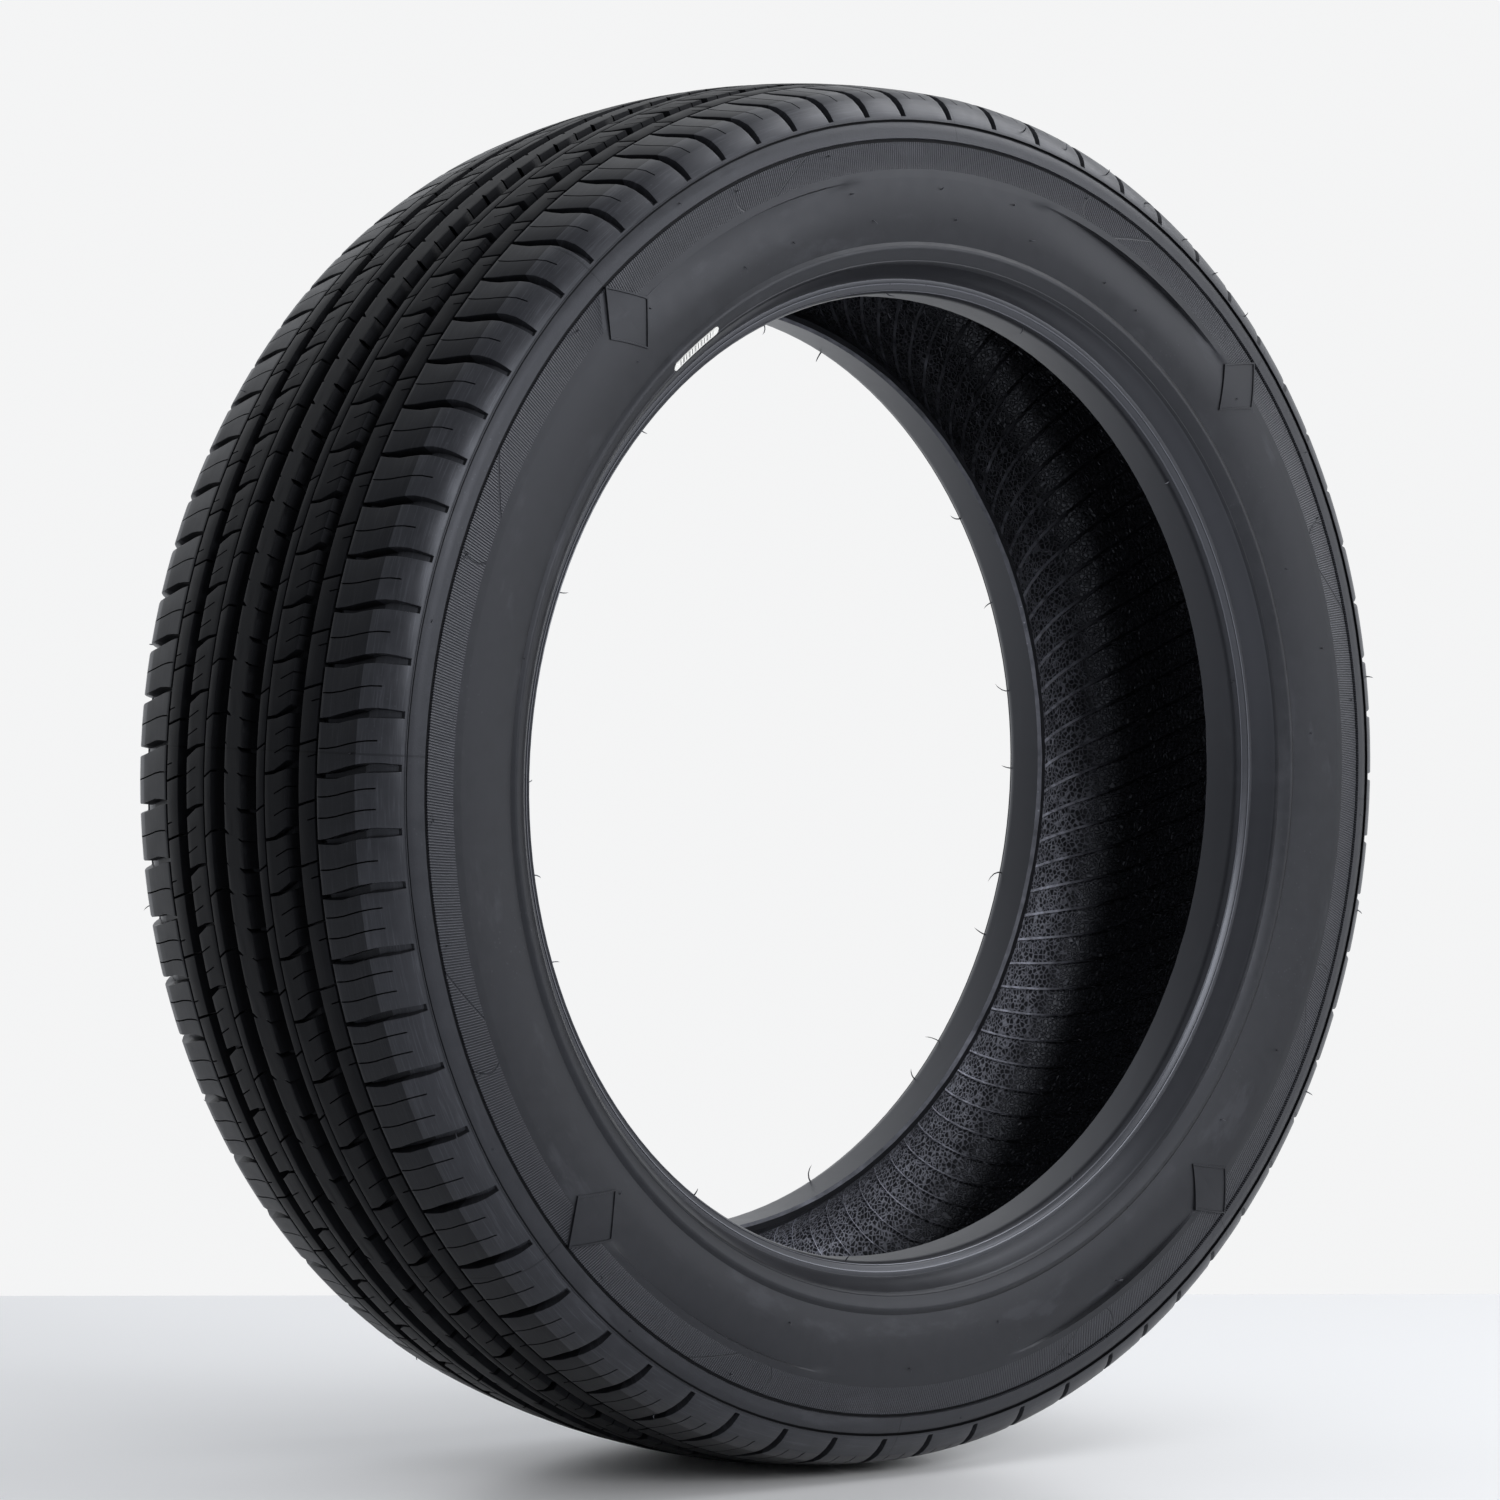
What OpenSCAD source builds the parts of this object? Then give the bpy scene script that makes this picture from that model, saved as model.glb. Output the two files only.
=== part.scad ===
// Passenger car tyre, off its rim, standing on its tread.
// Axle along Y, Z up, origin at the wheel centre. All lengths in millimetres.

/* [Overall size] */
// Width over both sidewalls with the tyre off its rim
section_width = 200; // [190:1:210]
// Diameter of the two bead seats
seat_diameter = 454; // [444:0.5:460]
// Height of the section, from the bead seat to the middle of the tread
section_height = 103; // [96:0.5:112]

/* [Tread] */
// Radius of the tread's arc from shoulder to shoulder
crown_arc_radius = 400; // [320:5:600]
// Depth of the four main grooves
main_groove_depth = 8; // [5:0.1:9]
// Width of each main groove at the surface, two by the centre rib
inner_groove_width = 11; // [8:0.1:13]
// Width of each of the two outer main grooves at the surface
outer_groove_width = 8.2; // [6:0.1:10]
// Width of the solid rib round the middle of the tread
centre_rib_width = 12.4; // [10:0.1:16]
// Width of the narrow strip beside each inner groove
strip_width = 5; // [4:0.1:6]
// Width of the slotted rib on each side
slotted_rib_width = 14; // [11:0.1:17]
// Width of the narrow rib beside each shoulder
narrow_rib_width = 9.8; // [7:0.1:12]
// How far each wall of a main groove leans in from top to bottom
groove_wall_lean = 1.9; // [1:0.1:2.5]
// Width of the fine slit that parts the strip from the slotted rib
slit_width = 1; // [0.6:0.1:1.4]
// Width of the thin groove round the inner edge of each shoulder
thin_groove_width = 1.5; // [1:0.1:2.5]
// Depth of the fine slits and thin grooves
thin_groove_depth = 4.6; // [3:0.1:6]

/* [Grooves and cuts in every pitch] */
// Full width of a cross groove over the shoulder
cross_groove_width = 4.2; // [3:0.1:5]
// Width of the throat where a cross groove leaves the thin groove
cross_throat_width = 2.2; // [1.5:0.1:3.5]
// Length of that throat before the groove reaches its full depth
cross_throat_length = 4; // [2:0.1:8]
// Depth of a cross groove at the tread's edge
cross_groove_depth = 6; // [4:0.1:7]
// How far a cross groove drifts round the tyre on its way out
cross_groove_drift = 4; // [0:0.5:6]
// Widest end of a slot in the slotted rib
slot_width = 3.2; // [2:0.1:4]
// Narrow end of a slot in the slotted rib
slot_tip_width = 1.2; // [0.8:0.1:2]
// How far a slot drifts round the tyre on its way out
slot_drift = 4.2; // [0:0.1:5]
// Depth of the slots and of the slanted cuts in the ribs
slot_depth = 4.2; // [2.5:0.1:5.5]
// Width of the slanted cut through each narrow rib
rib_cut_width = 1.2; // [0.8:0.1:2]
// How far that cut drifts round the tyre on its way out
rib_cut_drift = 2.5; // [0:0.1:4]
// Width of the slanted cut through each strip
strip_cut_width = 1.2; // [0.8:0.1:2]
// How far that cut drifts round the tyre on its way out
strip_cut_drift = 2.8; // [0:0.1:4]
// Width of a thorn notch where it opens into the inner groove
notch_width = 2.4; // [1.5:0.1:4]
// How far a thorn notch reaches into the centre rib on the near side
notch_reach = 3; // [2:0.1:5]
// How far a thorn notch reaches into the centre rib on the far side
far_notch_reach = 2; // [1.5:0.1:4]
// How far a thorn notch drifts round the tyre on its way out
notch_drift = 2.2; // [0:0.1:4]
// Depth of the thorn notches
notch_depth = 4.5; // [3:0.1:7]

/* [Pitch sequence] */
// Shortest pitch of the pattern, in degrees before the sequence is closed up
short_pitch = 4.25; // [3.9:0.05:4.6]
// Step from each pitch grade to the next longer one
pitch_step = 0.4; // [0.2:0.05:0.5]
// Angle at which the sequence begins
pattern_start = 180.3; // [0:0.1:360]
// Share of a pitch by which the far shoulder's pattern is shifted
far_side_lead = 0.48; // [0.3:0.01:0.7]

/* [Sidewall and bead] */
// Height above the bead seat at which the sidewall is widest
widest_height = 49; // [45:1:55]
// Radius of the sidewall's bulge
wall_arc_radius = 110; // [95:1:130]
// Radius that rounds the shoulder into the sidewall
shoulder_radius = 22; // [18:1:25]
// How far below the tread the finely ribbed band round the sidewall begins
band_drop = 32; // [30:0.5:36]
// Height of that band up the sidewall
band_height = 17; // [8:0.5:20]
// Depth of the band below the sidewall
band_depth = 0.5; // [0.2:0.05:0.8]
// Height of the protector ridge's crest above the bead seat
ridge_rise = 21.4; // [20:0.1:25]
// How far the protector ridge stands out of the sidewall
ridge_stand_out = 1.2; // [0.6:0.1:2]
// Width of the protector ridge's crest
ridge_width = 2.1; // [1:0.1:3]
// How far the slope below the ridge runs in towards the bead
ridge_slope_run = 4.6; // [3:0.1:6]
// How far that slope runs down towards the axle
ridge_slope_drop = 6.8; // [5.5:0.1:8]
// Distance between the outer faces of the two beads
bead_spacing = 169; // [160:1:180]
// Radius of the rounded heel of each bead
heel_radius = 7; // [5:0.5:9]
// Width of each bead seat between heel and toe
seat_width = 17; // [12:0.5:20]
// Bevel on the toe of each bead
toe_bevel = 1.5; // [0.5:0.1:3]
// Width of the fine lines moulded round the shoulder and sidewall
mould_line_width = 1; // [0.6:0.1:2]
// Depth of those lines
mould_line_depth = 0.6; // [0.3:0.1:1]

/* [Rubber thickness] */
// Thickness through the middle of the tread, ribs included
crown_thickness = 15.8; // [13:0.1:18]
// Radius that rounds the crown into the sidewall on the inside
inner_shoulder_radius = 32; // [28:1:38]
// Thickness of the sidewall where it is widest
wall_thickness = 7.5; // [6:0.1:10]

/* [Standing] */
// Depth of the small flat that the standing tyre presses into its tread
stand_flat_depth = 2; // [1:0.1:3]

/* [Bar label] */
// Length of the small label round the sidewall
label_length = 32; // [24:1:40]
// Height of the label up the sidewall
label_height = 4.6; // [3:0.1:5]
// Thickness of the label
label_thickness = 0.5; // [0.3:0.05:1]
// Angle round the tyre at which the label sits, zero at the right and up at 90
label_angle = 127.8; // [0:0.1:360]

/* [Hidden] */
$fn = 96;
rubber = [0.09, 0.09, 0.10];
label_white = [0.92, 0.92, 0.91];

seat_radius = seat_diameter / 2;
crown_radius = seat_radius + section_height;
widest_radius = seat_radius + widest_height;
ridge_radius = seat_radius + ridge_rise;
band_outer_radius = crown_radius - band_drop;
band_inner_radius = band_outer_radius - band_height;
half_section = section_width / 2;
heel_face = bead_spacing / 2;
seat_outer = heel_face - heel_radius;
seat_inner = seat_outer - seat_width;
crown_centre = [0, crown_radius - crown_arc_radius];
wall_centre = [half_section - wall_arc_radius, widest_radius];

// Runs of equal pitches round the tyre, each with its grade from 0, short, to 3, long
pitch_runs = [
    [20, 0], [3, 2], [1, 3], [2, 2], [1, 3],
    [4, 2], [1, 3], [3, 2], [1, 1], [2, 3], [3, 2], [1, 1], [1, 3], [3, 2],
    [1, 2], [2, 1], [3, 3], [2, 2], [3, 3], [3, 2], [5, 3], [3, 1], [1, 0], [1, 1]
];
// Extra length of each grade, counted in pitch steps, where the second step is a double one
grade_steps = [0, 2, 3, 4];

// Places across the tread, measured from its middle
inner_groove_start = centre_rib_width / 2;
inner_groove_end = inner_groove_start + inner_groove_width;
slit_start = inner_groove_end + strip_width;
slit_end = slit_start + slit_width;
outer_groove_start = slit_end + slotted_rib_width;
outer_groove_end = outer_groove_start + outer_groove_width;
thin_groove_start = outer_groove_end + narrow_rib_width;
thin_groove_end = thin_groove_start + thin_groove_width;

// Small clearances that make cutting shapes run past the rubber they cut
past = 1;
above_tread = 6;

// Points on an arc about a centre [across, out], from one facing angle to another
// A facing angle is 0 straight out from the axle and 90 straight across it
function facing(a) = [sin(a), cos(a)];
function arc(centre, radius, from, to, steps) =
    [for (i = [0 : steps]) centre + radius * facing(from + (to - from) * i / steps)];

// Centre of a circle inside two larger ones that it touches
function rounding_centre(c1, r1, c2, r2, r) =
    let (
        gap = norm(c2 - c1),
        line = (c2 - c1) / gap,
        along = ((r1 - r) ^ 2 - (r2 - r) ^ 2 + gap ^ 2) / (2 * gap),
        aside = sqrt((r1 - r) ^ 2 - along ^ 2)
    )
    c1 + along * line + aside * [line[1], -line[0]];
function facing_of(v) = atan2(v[0], v[1]);

// Radius of the tread's surface at a distance across from its middle
function tread_radius(across) =
    crown_centre[1] + sqrt(crown_arc_radius ^ 2 - across ^ 2);

// Shoulder's rounding between the tread's arc and the sidewall's arc
shoulder_centre = rounding_centre(crown_centre, crown_arc_radius, wall_centre,
    wall_arc_radius, shoulder_radius);
shoulder_start = facing_of(shoulder_centre - crown_centre);
shoulder_end = facing_of(shoulder_centre - wall_centre);
tread_edge = crown_arc_radius * sin(shoulder_start);
function shoulder_height(across) =
    shoulder_centre[1] + sqrt(shoulder_radius ^ 2 - (across - shoulder_centre[0]) ^ 2);

// Facing angle on the sidewall's arc at a radius from the axle
function wall_facing(radius) = acos((radius - widest_radius) / wall_arc_radius);
wall_end = wall_facing(ridge_radius + ridge_width * 1.2);
band_start = wall_facing(band_outer_radius);
band_end = wall_facing(band_inner_radius);
band_step = 0.25;

// One groove across the tread's surface: lip, foot, foot, lip
function groove(start, end, depth, lean) = [
    [start, tread_radius(start)],
    [start + lean, tread_radius(start) - depth],
    [end - lean, tread_radius(end) - depth],
    [end, tread_radius(end)]
];

// The tread's surface from its middle to its edge
thin_lean = 0.1;
tread_outline = concat(
    [[0, crown_radius]],
    groove(inner_groove_start, inner_groove_end, main_groove_depth, groove_wall_lean),
    groove(slit_start, slit_end, thin_groove_depth, thin_lean),
    groove(outer_groove_start, outer_groove_end, main_groove_depth, groove_wall_lean),
    groove(thin_groove_start, thin_groove_end, thin_groove_depth, thin_lean),
    [for (i = [1 : 2]) let (across = thin_groove_end + (tread_edge - thin_groove_end) * i / 3)
        [across, tread_radius(across)]]
);

// The shoulder and the sidewall down to the protector ridge, with a fine line where they meet
line_half = mould_line_width / 2 / shoulder_radius * 180 / PI;
side_outline = concat(
    arc(shoulder_centre, shoulder_radius, shoulder_start, shoulder_end - 2 * line_half, 5),
    [shoulder_centre + (shoulder_radius - mould_line_depth) * facing(shoulder_end - line_half)],
    arc(wall_centre, wall_arc_radius, shoulder_end, band_start - band_step, 1),
    arc(wall_centre, wall_arc_radius - band_depth, band_start, band_end - band_step, 3),
    arc(wall_centre, wall_arc_radius, band_end, wall_end, 5)
);

// The ridge, the slope below it, the hollow above the heel, the heel, the seat and the toe
ridge_out = wall_centre[0] + wall_arc_radius * sin(wall_end) + ridge_stand_out;
slope_top = [ridge_out, ridge_radius - ridge_width / 2];
slope_foot = slope_top - [ridge_slope_run, ridge_slope_drop];
heel_centre = [seat_outer, seat_radius + heel_radius];
toe = [seat_inner - toe_bevel, seat_radius + toe_bevel];
bead_outline = concat(
    [
        [ridge_out, ridge_radius + ridge_width / 2],
        slope_top,
        slope_foot,
        [heel_face * 0.6 + slope_foot[0] * 0.4, heel_centre[1] * 0.6 + slope_foot[1] * 0.4]
    ],
    arc(heel_centre, heel_radius, 90, 180, 6),
    [[seat_inner, seat_radius], toe]
);

// The inside from the toe over the bead, the sidewall and the shoulder to the crown
inner_crown_arc = crown_arc_radius - crown_thickness;
inner_wall_arc = wall_arc_radius - wall_thickness;
inner_centre = rounding_centre(crown_centre, inner_crown_arc, wall_centre, inner_wall_arc,
    inner_shoulder_radius);
inner_start = facing_of(inner_centre - crown_centre);
inner_end = facing_of(inner_centre - wall_centre);
bead_lean = [0.6, 3];
bead_foot = toe + bead_lean;
bead_top = wall_centre + inner_wall_arc * facing(inner_end);
bead_bend = [bead_top[0], ridge_radius - ridge_width];
function bend(a, b, c, t) = (1 - t) ^ 2 * a + 2 * t * (1 - t) * b + t ^ 2 * c;
inner_outline = concat(
    [for (i = [0 : 5]) bend(bead_foot, bead_bend, bead_top, i / 6)],
    arc(inner_centre, inner_shoulder_radius, inner_end, inner_start, 8),
    arc(crown_centre, inner_crown_arc, inner_start * 0.75, 0, 3)
);

half_outline = concat(tread_outline, side_outline, bead_outline, inner_outline);
function swapped(points, side) = [for (p = points) [p[1], side * p[0]]];
function backwards(points) = [for (i = [len(points) - 1 : -1 : 0]) points[i]];
off_middle = [for (i = [1 : len(half_outline) - 2]) half_outline[i]];
section = concat(swapped(half_outline, 1), backwards(swapped(off_middle, -1)));

// Pitch angles round the tyre, closed up to a full turn
grades = [for (run = pitch_runs) for (i = [1 : run[0]])
    short_pitch + pitch_step * grade_steps[run[1]]];
running = [for (i = 0, s = 0; i <= len(grades); s = s + (i < len(grades) ? grades[i] : 0), i = i + 1) s];
full_turn = running[len(grades)];
function pitch_width(i) = grades[i] * 360 / full_turn;
function near_angle(i) = pattern_start - running[i] * 360 / full_turn;
// The far half is turned about a radius, so its pitches run the other way round the tyre
function far_angle(i) = near_angle(i) - far_side_lead * pitch_width(i);
function before(i) = (i + len(grades) - 1) % len(grades);
function far_width(i) = (far_angle(before(i)) - far_angle(i) + 360) % 360;

// A prism with a given plan, [round, across], that reaches from a floor out past the tread
module well(plan, floor_radius) {
    rotate([90, 0, 90])
        translate([0, 0, floor_radius])
            linear_extrude(height = crown_radius + above_tread - floor_radius) polygon(plan);
}

// Straight channel from one groove to the next, with its width at both ends
module channel(start, end, widths, drift, depth) {
    half = widths / 2;
    well([
        [-half[0], start], [half[0], start],
        [half[1] - drift, end], [-half[1] - drift, end]
    ], tread_radius((start + end) / 2) - depth);
}

// Cross groove over the shoulder, open at the thin groove and running out below the tread's edge
cross_end_facing = 62;
cross_start = thin_groove_start + thin_groove_width / 2;
cross_end = shoulder_centre[0] + shoulder_radius * sin(cross_end_facing);
cross_bend = (tread_edge + cross_end) / 2;
throat_end = cross_start + cross_throat_length;
cross_half_space = cross_groove_drift + cross_groove_width;
function drift_at(across) =
    let (share = min(1, (across - cross_start) / (cross_end - cross_start)))
    -cross_groove_drift * (share * share * (3 - 2 * share));
module cross_groove() {
    stops = [for (share = [0, 0.3, 0.66, 1])
        cross_start + share * (cross_end + past - cross_start)];
    halves = [cross_throat_width, cross_groove_width, cross_groove_width, cross_groove_width] / 2;
    upper = [for (i = [0 : len(stops) - 1]) [drift_at(stops[i]) + halves[i], stops[i]]];
    lower = [for (i = [len(stops) - 1 : -1 : 0]) [drift_at(stops[i]) - halves[i], stops[i]]];
    top = crown_radius + above_tread;
    intersection() {
        well(concat(upper, lower), shoulder_height(cross_end) - cross_groove_depth);
        rotate([90, 0, 0])
            linear_extrude(height = 2 * cross_half_space, center = true)
                polygon([
                    [top, cross_start - past],
                    [tread_radius(cross_start) - thin_groove_depth * 0.8, cross_start - past],
                    [tread_radius(throat_end) - cross_groove_depth, throat_end],
                    [tread_radius(tread_edge) - cross_groove_depth, tread_edge],
                    [shoulder_height(cross_bend) - cross_groove_depth * 0.8, cross_bend],
                    [shoulder_height(cross_end) - mould_line_depth, cross_end],
                    [top, cross_end + past]
                ]);
    }
}

// Slot from the slit to the outer main groove, widening outwards
module rib_slot() {
    channel(slit_start + slit_width / 2, outer_groove_start + groove_wall_lean,
        [slot_tip_width, slot_width], slot_drift, slot_depth);
}

// Slanted cut through the narrow rib
module rib_cut() {
    channel(outer_groove_end - groove_wall_lean, cross_start,
        [rib_cut_width, rib_cut_width], rib_cut_drift, slot_depth);
}

// Slanted cut through the strip, from the inner groove to the slit
module strip_cut() {
    channel(inner_groove_end - groove_wall_lean, slit_start + slit_width / 2,
        [strip_cut_width, strip_cut_width], strip_cut_drift, slot_depth);
}

// Thorn notch in the edge of the centre rib, pointed at its inner end
module thorn_notch(reach) {
    edge = inner_groove_start + groove_wall_lean;
    half = notch_width / 2;
    well([
        [0, inner_groove_start - reach],
        [notch_drift + half, edge], [notch_drift - half, edge]
    ], tread_radius(edge) - notch_depth);
}

// Places within a pitch, as shares of it counted from the inner end of its cross groove
notch_place = 0.46;
strip_cut_place = 0.43;
rib_cut_place = 0.55;
// The cuts of each half of the tread, one of each in every pitch
module near_half() {
    for (i = [0 : len(grades) - 1]) rotate([0, 0, near_angle(i)]) {
        cross_groove();
        rib_slot();
        rotate([0, 0, -notch_place * pitch_width(i)]) thorn_notch(notch_reach);
        rotate([0, 0, -strip_cut_place * pitch_width(i)]) strip_cut();
        rotate([0, 0, -rib_cut_place * pitch_width(i)]) rib_cut();
    }
}
module far_half() {
    for (i = [0 : len(grades) - 1]) rotate([180, 0, far_angle(i)]) {
        cross_groove();
        rib_slot();
        rotate([0, 0, -notch_place * far_width(i)]) thorn_notch(far_notch_reach);
        rotate([0, 0, -strip_cut_place * far_width(i)]) strip_cut();
        rotate([0, 0, -rib_cut_place * far_width(i)]) rib_cut();
    }
}

// The tyre turned so that its axle lies along Y, with its middle at the origin
module tyre() {
    color(rubber)
    difference() {
        rotate([90, 0, 0])
        difference() {
            rotate_extrude() polygon(section);
            near_half();
            far_half();
        }
        translate([0, 0, -crown_radius - half_section + stand_flat_depth])
            cube(section_width, center = true);
    }
}

// The label, bonded to the slope below the protector ridge on the side at -Y
slope = slope_foot - slope_top;
slope_length = norm(slope);
slope_out = [-slope[1], slope[0]] / slope_length;
label_top = slope_top + slope * (0.5 - label_height / 2 / slope_length);
label_foot = slope_top + slope * (0.5 + label_height / 2 / slope_length);
label_mid = (label_top + label_foot) / 2;
label_section = [
    label_top, label_foot,
    label_foot + label_thickness * slope_out,
    label_top + label_thickness * slope_out
];
label_end = label_height * abs(slope[1]) / slope_length / 2;
label_half_turn = (label_length / 2 - label_end) / label_mid[1] * 180 / PI;
module bar_label() {
    color(label_white)
    rotate([90, 0, 0])
    intersection() {
        rotate_extrude() polygon(swapped(label_section, 1));
        union() {
            rotate([0, 0, label_angle - label_half_turn])
                rotate_extrude(angle = 2 * label_half_turn)
                    translate([label_mid[1] - label_end, 0])
                        square([2 * label_end, half_section + ridge_stand_out]);
            for (side = [-1, 1])
                rotate([0, 0, label_angle + side * label_half_turn])
                    translate([label_mid[1], 0, 0])
                        cylinder(h = half_section + ridge_stand_out, r = label_end);
        }
    }
}

tyre();
bar_label();
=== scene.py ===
# %% [markdown]
# A passenger car tyre, off its rim, standing on its tread.
#
# The tyre is one moulding, so its dress is one closed mesh too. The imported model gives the
# size and the place of everything; this script makes the finer surface that the mould leaves:
# the tread blocks with their fine cuts, the ribbed band on the sidewall, the pebbled liner,
# and the rubber hairs that the mould's vents leave behind.

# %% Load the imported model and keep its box
import bisect
import math
import random
import bpy
from mathutils import Matrix, Vector


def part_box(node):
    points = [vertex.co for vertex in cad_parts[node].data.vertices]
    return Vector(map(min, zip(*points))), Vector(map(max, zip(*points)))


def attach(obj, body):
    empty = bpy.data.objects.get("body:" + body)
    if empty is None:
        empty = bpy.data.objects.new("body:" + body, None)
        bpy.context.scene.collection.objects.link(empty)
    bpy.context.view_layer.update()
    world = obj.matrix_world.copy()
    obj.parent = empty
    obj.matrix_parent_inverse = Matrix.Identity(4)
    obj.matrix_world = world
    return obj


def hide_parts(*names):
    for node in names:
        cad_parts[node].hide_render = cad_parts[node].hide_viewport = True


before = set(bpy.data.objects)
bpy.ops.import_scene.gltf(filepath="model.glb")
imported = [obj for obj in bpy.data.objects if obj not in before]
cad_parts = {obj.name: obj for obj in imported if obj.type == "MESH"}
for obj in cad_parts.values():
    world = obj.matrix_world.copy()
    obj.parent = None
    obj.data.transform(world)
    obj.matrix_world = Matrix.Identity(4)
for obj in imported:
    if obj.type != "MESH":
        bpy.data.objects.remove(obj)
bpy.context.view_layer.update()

tyre_low, tyre_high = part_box("tyre")
print("packed tyre from", [round(v, 4) for v in tyre_low], "to", [round(v, 4) for v in tyre_high])

def into_scene(name, data):
    """Makes an object of this data and links it."""
    made = bpy.data.objects.new(name, data)
    bpy.context.scene.collection.objects.link(made)
    return made


def new_material(name):
    """A material with nodes. Returns it, its node tree and its Principled shader."""
    material = bpy.data.materials.new(name)
    material.use_nodes = True
    return material, material.node_tree, material.node_tree.nodes["Principled BSDF"]


# %% [markdown]
# Every size below is in millimetres, as a tyre maker writes them. A place on the tyre has
# three numbers: how far across it is from the middle of the tread, how far out from the
# axle, and the angle round the tyre, 0 at the right and 90 at the top. The near side, which
# the camera sees, is at -Y.

# %% Sizes of the tyre
MM = 0.001
CROWN = 330.0
STANDING_HEIGHT = -tyre_low.z / MM
HALF_SECTION = 100.0
CROWN_ARC = 400.0
WALL_ARC = 110.0
WIDEST = 276.0
SHOULDER = 22.0
SEAT = 227.0
HEEL_FACE = 84.5
HEEL = 7.0
SEAT_WIDTH = 17.0
TOE_BEVEL = 1.5
CROWN_THICKNESS = 15.8
WALL_THICKNESS = 7.5
INNER_SHOULDER = 32.0

# %% Depths and widths of the tread
MAIN_DEPTH = 8.0
THIN_DEPTH = 4.6
CROSS_DEPTH = 6.0
LEAN = 1.9
THIN_LEAN = 0.1
INNER_GROOVE = (6.2, 17.2)
SLIT = (22.2, 23.2)
OUTER_GROOVE = (37.2, 45.4)
THIN_GROOVE = (55.2, 56.7)

# %% [markdown]
# The section is built from arcs that touch each other, as on the mould drawing: a wide arc
# over the crown, a tight one round the shoulder, and a gentle one down the sidewall. The
# shoulder's centre follows from the other two.

# %% Arcs of the section
def facing(angle):
    """Direction at an angle from straight out, towards the sidewall, as (across, out)."""
    return Vector((math.sin(math.radians(angle)), math.cos(math.radians(angle))))


def rounding_centre(c1, r1, c2, r2, radius):
    """Centre of a circle that touches two larger ones from inside."""
    gap = (c2 - c1).length
    line = (c2 - c1) / gap
    along = ((r1 - radius) ** 2 - (r2 - radius) ** 2 + gap ** 2) / (2 * gap)
    aside = math.sqrt((r1 - radius) ** 2 - along ** 2)
    return c1 + line * along + Vector((line.y, -line.x)) * aside


def facing_of(vector):
    return math.degrees(math.atan2(vector.x, vector.y))


def arc(centre, radius, start, end, steps):
    return [centre + facing(start + (end - start) * i / steps) * radius for i in range(steps + 1)]


crown_centre = Vector((0, CROWN - CROWN_ARC))
wall_centre = Vector((HALF_SECTION - WALL_ARC, WIDEST))
shoulder_centre = rounding_centre(crown_centre, CROWN_ARC, wall_centre, WALL_ARC, SHOULDER)
shoulder_start = facing_of(shoulder_centre - crown_centre)
shoulder_end = facing_of(shoulder_centre - wall_centre)
tread_edge = CROWN_ARC * math.sin(math.radians(shoulder_start))
print("shoulder arc from", round(shoulder_start, 1), "to", round(shoulder_end, 1), "degrees")

# %% [markdown]
# The blocks of a tread are not all the same length. Their pitches follow a sequence, so that
# the tyre doesn't hum at one note. The shortest run faces the camera. The far shoulder has
# the same pattern turned half round and shifted by about half a pitch.

# %% Pitch sequence
SHORT_PITCH = 4.25
GRADE_STEPS = (0.0, 0.8, 1.2, 1.6)
PITCH_RUNS = (
    (20, 0), (3, 2), (1, 3), (2, 2), (1, 3),
    (4, 2), (1, 3), (3, 2), (1, 1), (2, 3), (3, 2), (1, 1), (1, 3), (3, 2),
    (1, 2), (2, 1), (3, 3), (2, 2), (3, 3), (3, 2), (5, 3), (3, 1), (1, 0), (1, 1),
)
PATTERN_START = 180.3
FAR_LEAD = 0.48

raw = [SHORT_PITCH + GRADE_STEPS[grade] for count, grade in PITCH_RUNS for _ in range(count)]
closing = 360.0 / sum(raw)
widths = [w * closing for w in raw]
near_anchors = [PATTERN_START - sum(widths[:i]) for i in range(len(widths))]
near_pitches = list(zip(near_anchors, widths))
far_anchors = [a - FAR_LEAD * w for a, w in near_pitches]
far_pitches = [
    (far_anchors[i], (far_anchors[i - 1] - far_anchors[i]) % 360.0) for i in range(len(widths))
]
print(len(widths), "pitches from", round(min(widths), 2), "to", round(max(widths), 2), "degrees")

# %% [markdown]
# The mesh is made of rings. A ring is one line round the tyre, and neighbouring rings are
# joined by faces. Inside a rib all rings share the same rows, so they join as a neat grid;
# from rib to rib the rows differ, and the floor of the groove between them is zipped
# together with triangles. Because everything is one chain of rings, the mesh closes on
# itself like a real tyre and has no seam.

# %% Rings and how they join
points = []
faces = []
face_kinds = []


def place(across, out, angle):
    """A mesh point from its place on the tyre. The tread's contact patch is pressed flat."""
    x = out * math.cos(angle)
    z = max(out * math.sin(angle), -STANDING_HEIGHT)
    points.append((x * MM, -across * MM, z * MM))
    return len(points) - 1


def ring(grid, across_out_angle):
    rows = list(across_out_angle)
    return {"grid": grid, "ids": [place(*row) for row in rows], "angles": [r[2] for r in rows]}


def join_grid(a, b, kind):
    count = len(a["ids"])
    for k in range(count):
        n = (k + 1) % count
        faces.append((a["ids"][k], a["ids"][n], b["ids"][n], b["ids"][k]))
        face_kinds.append(kind)


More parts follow.
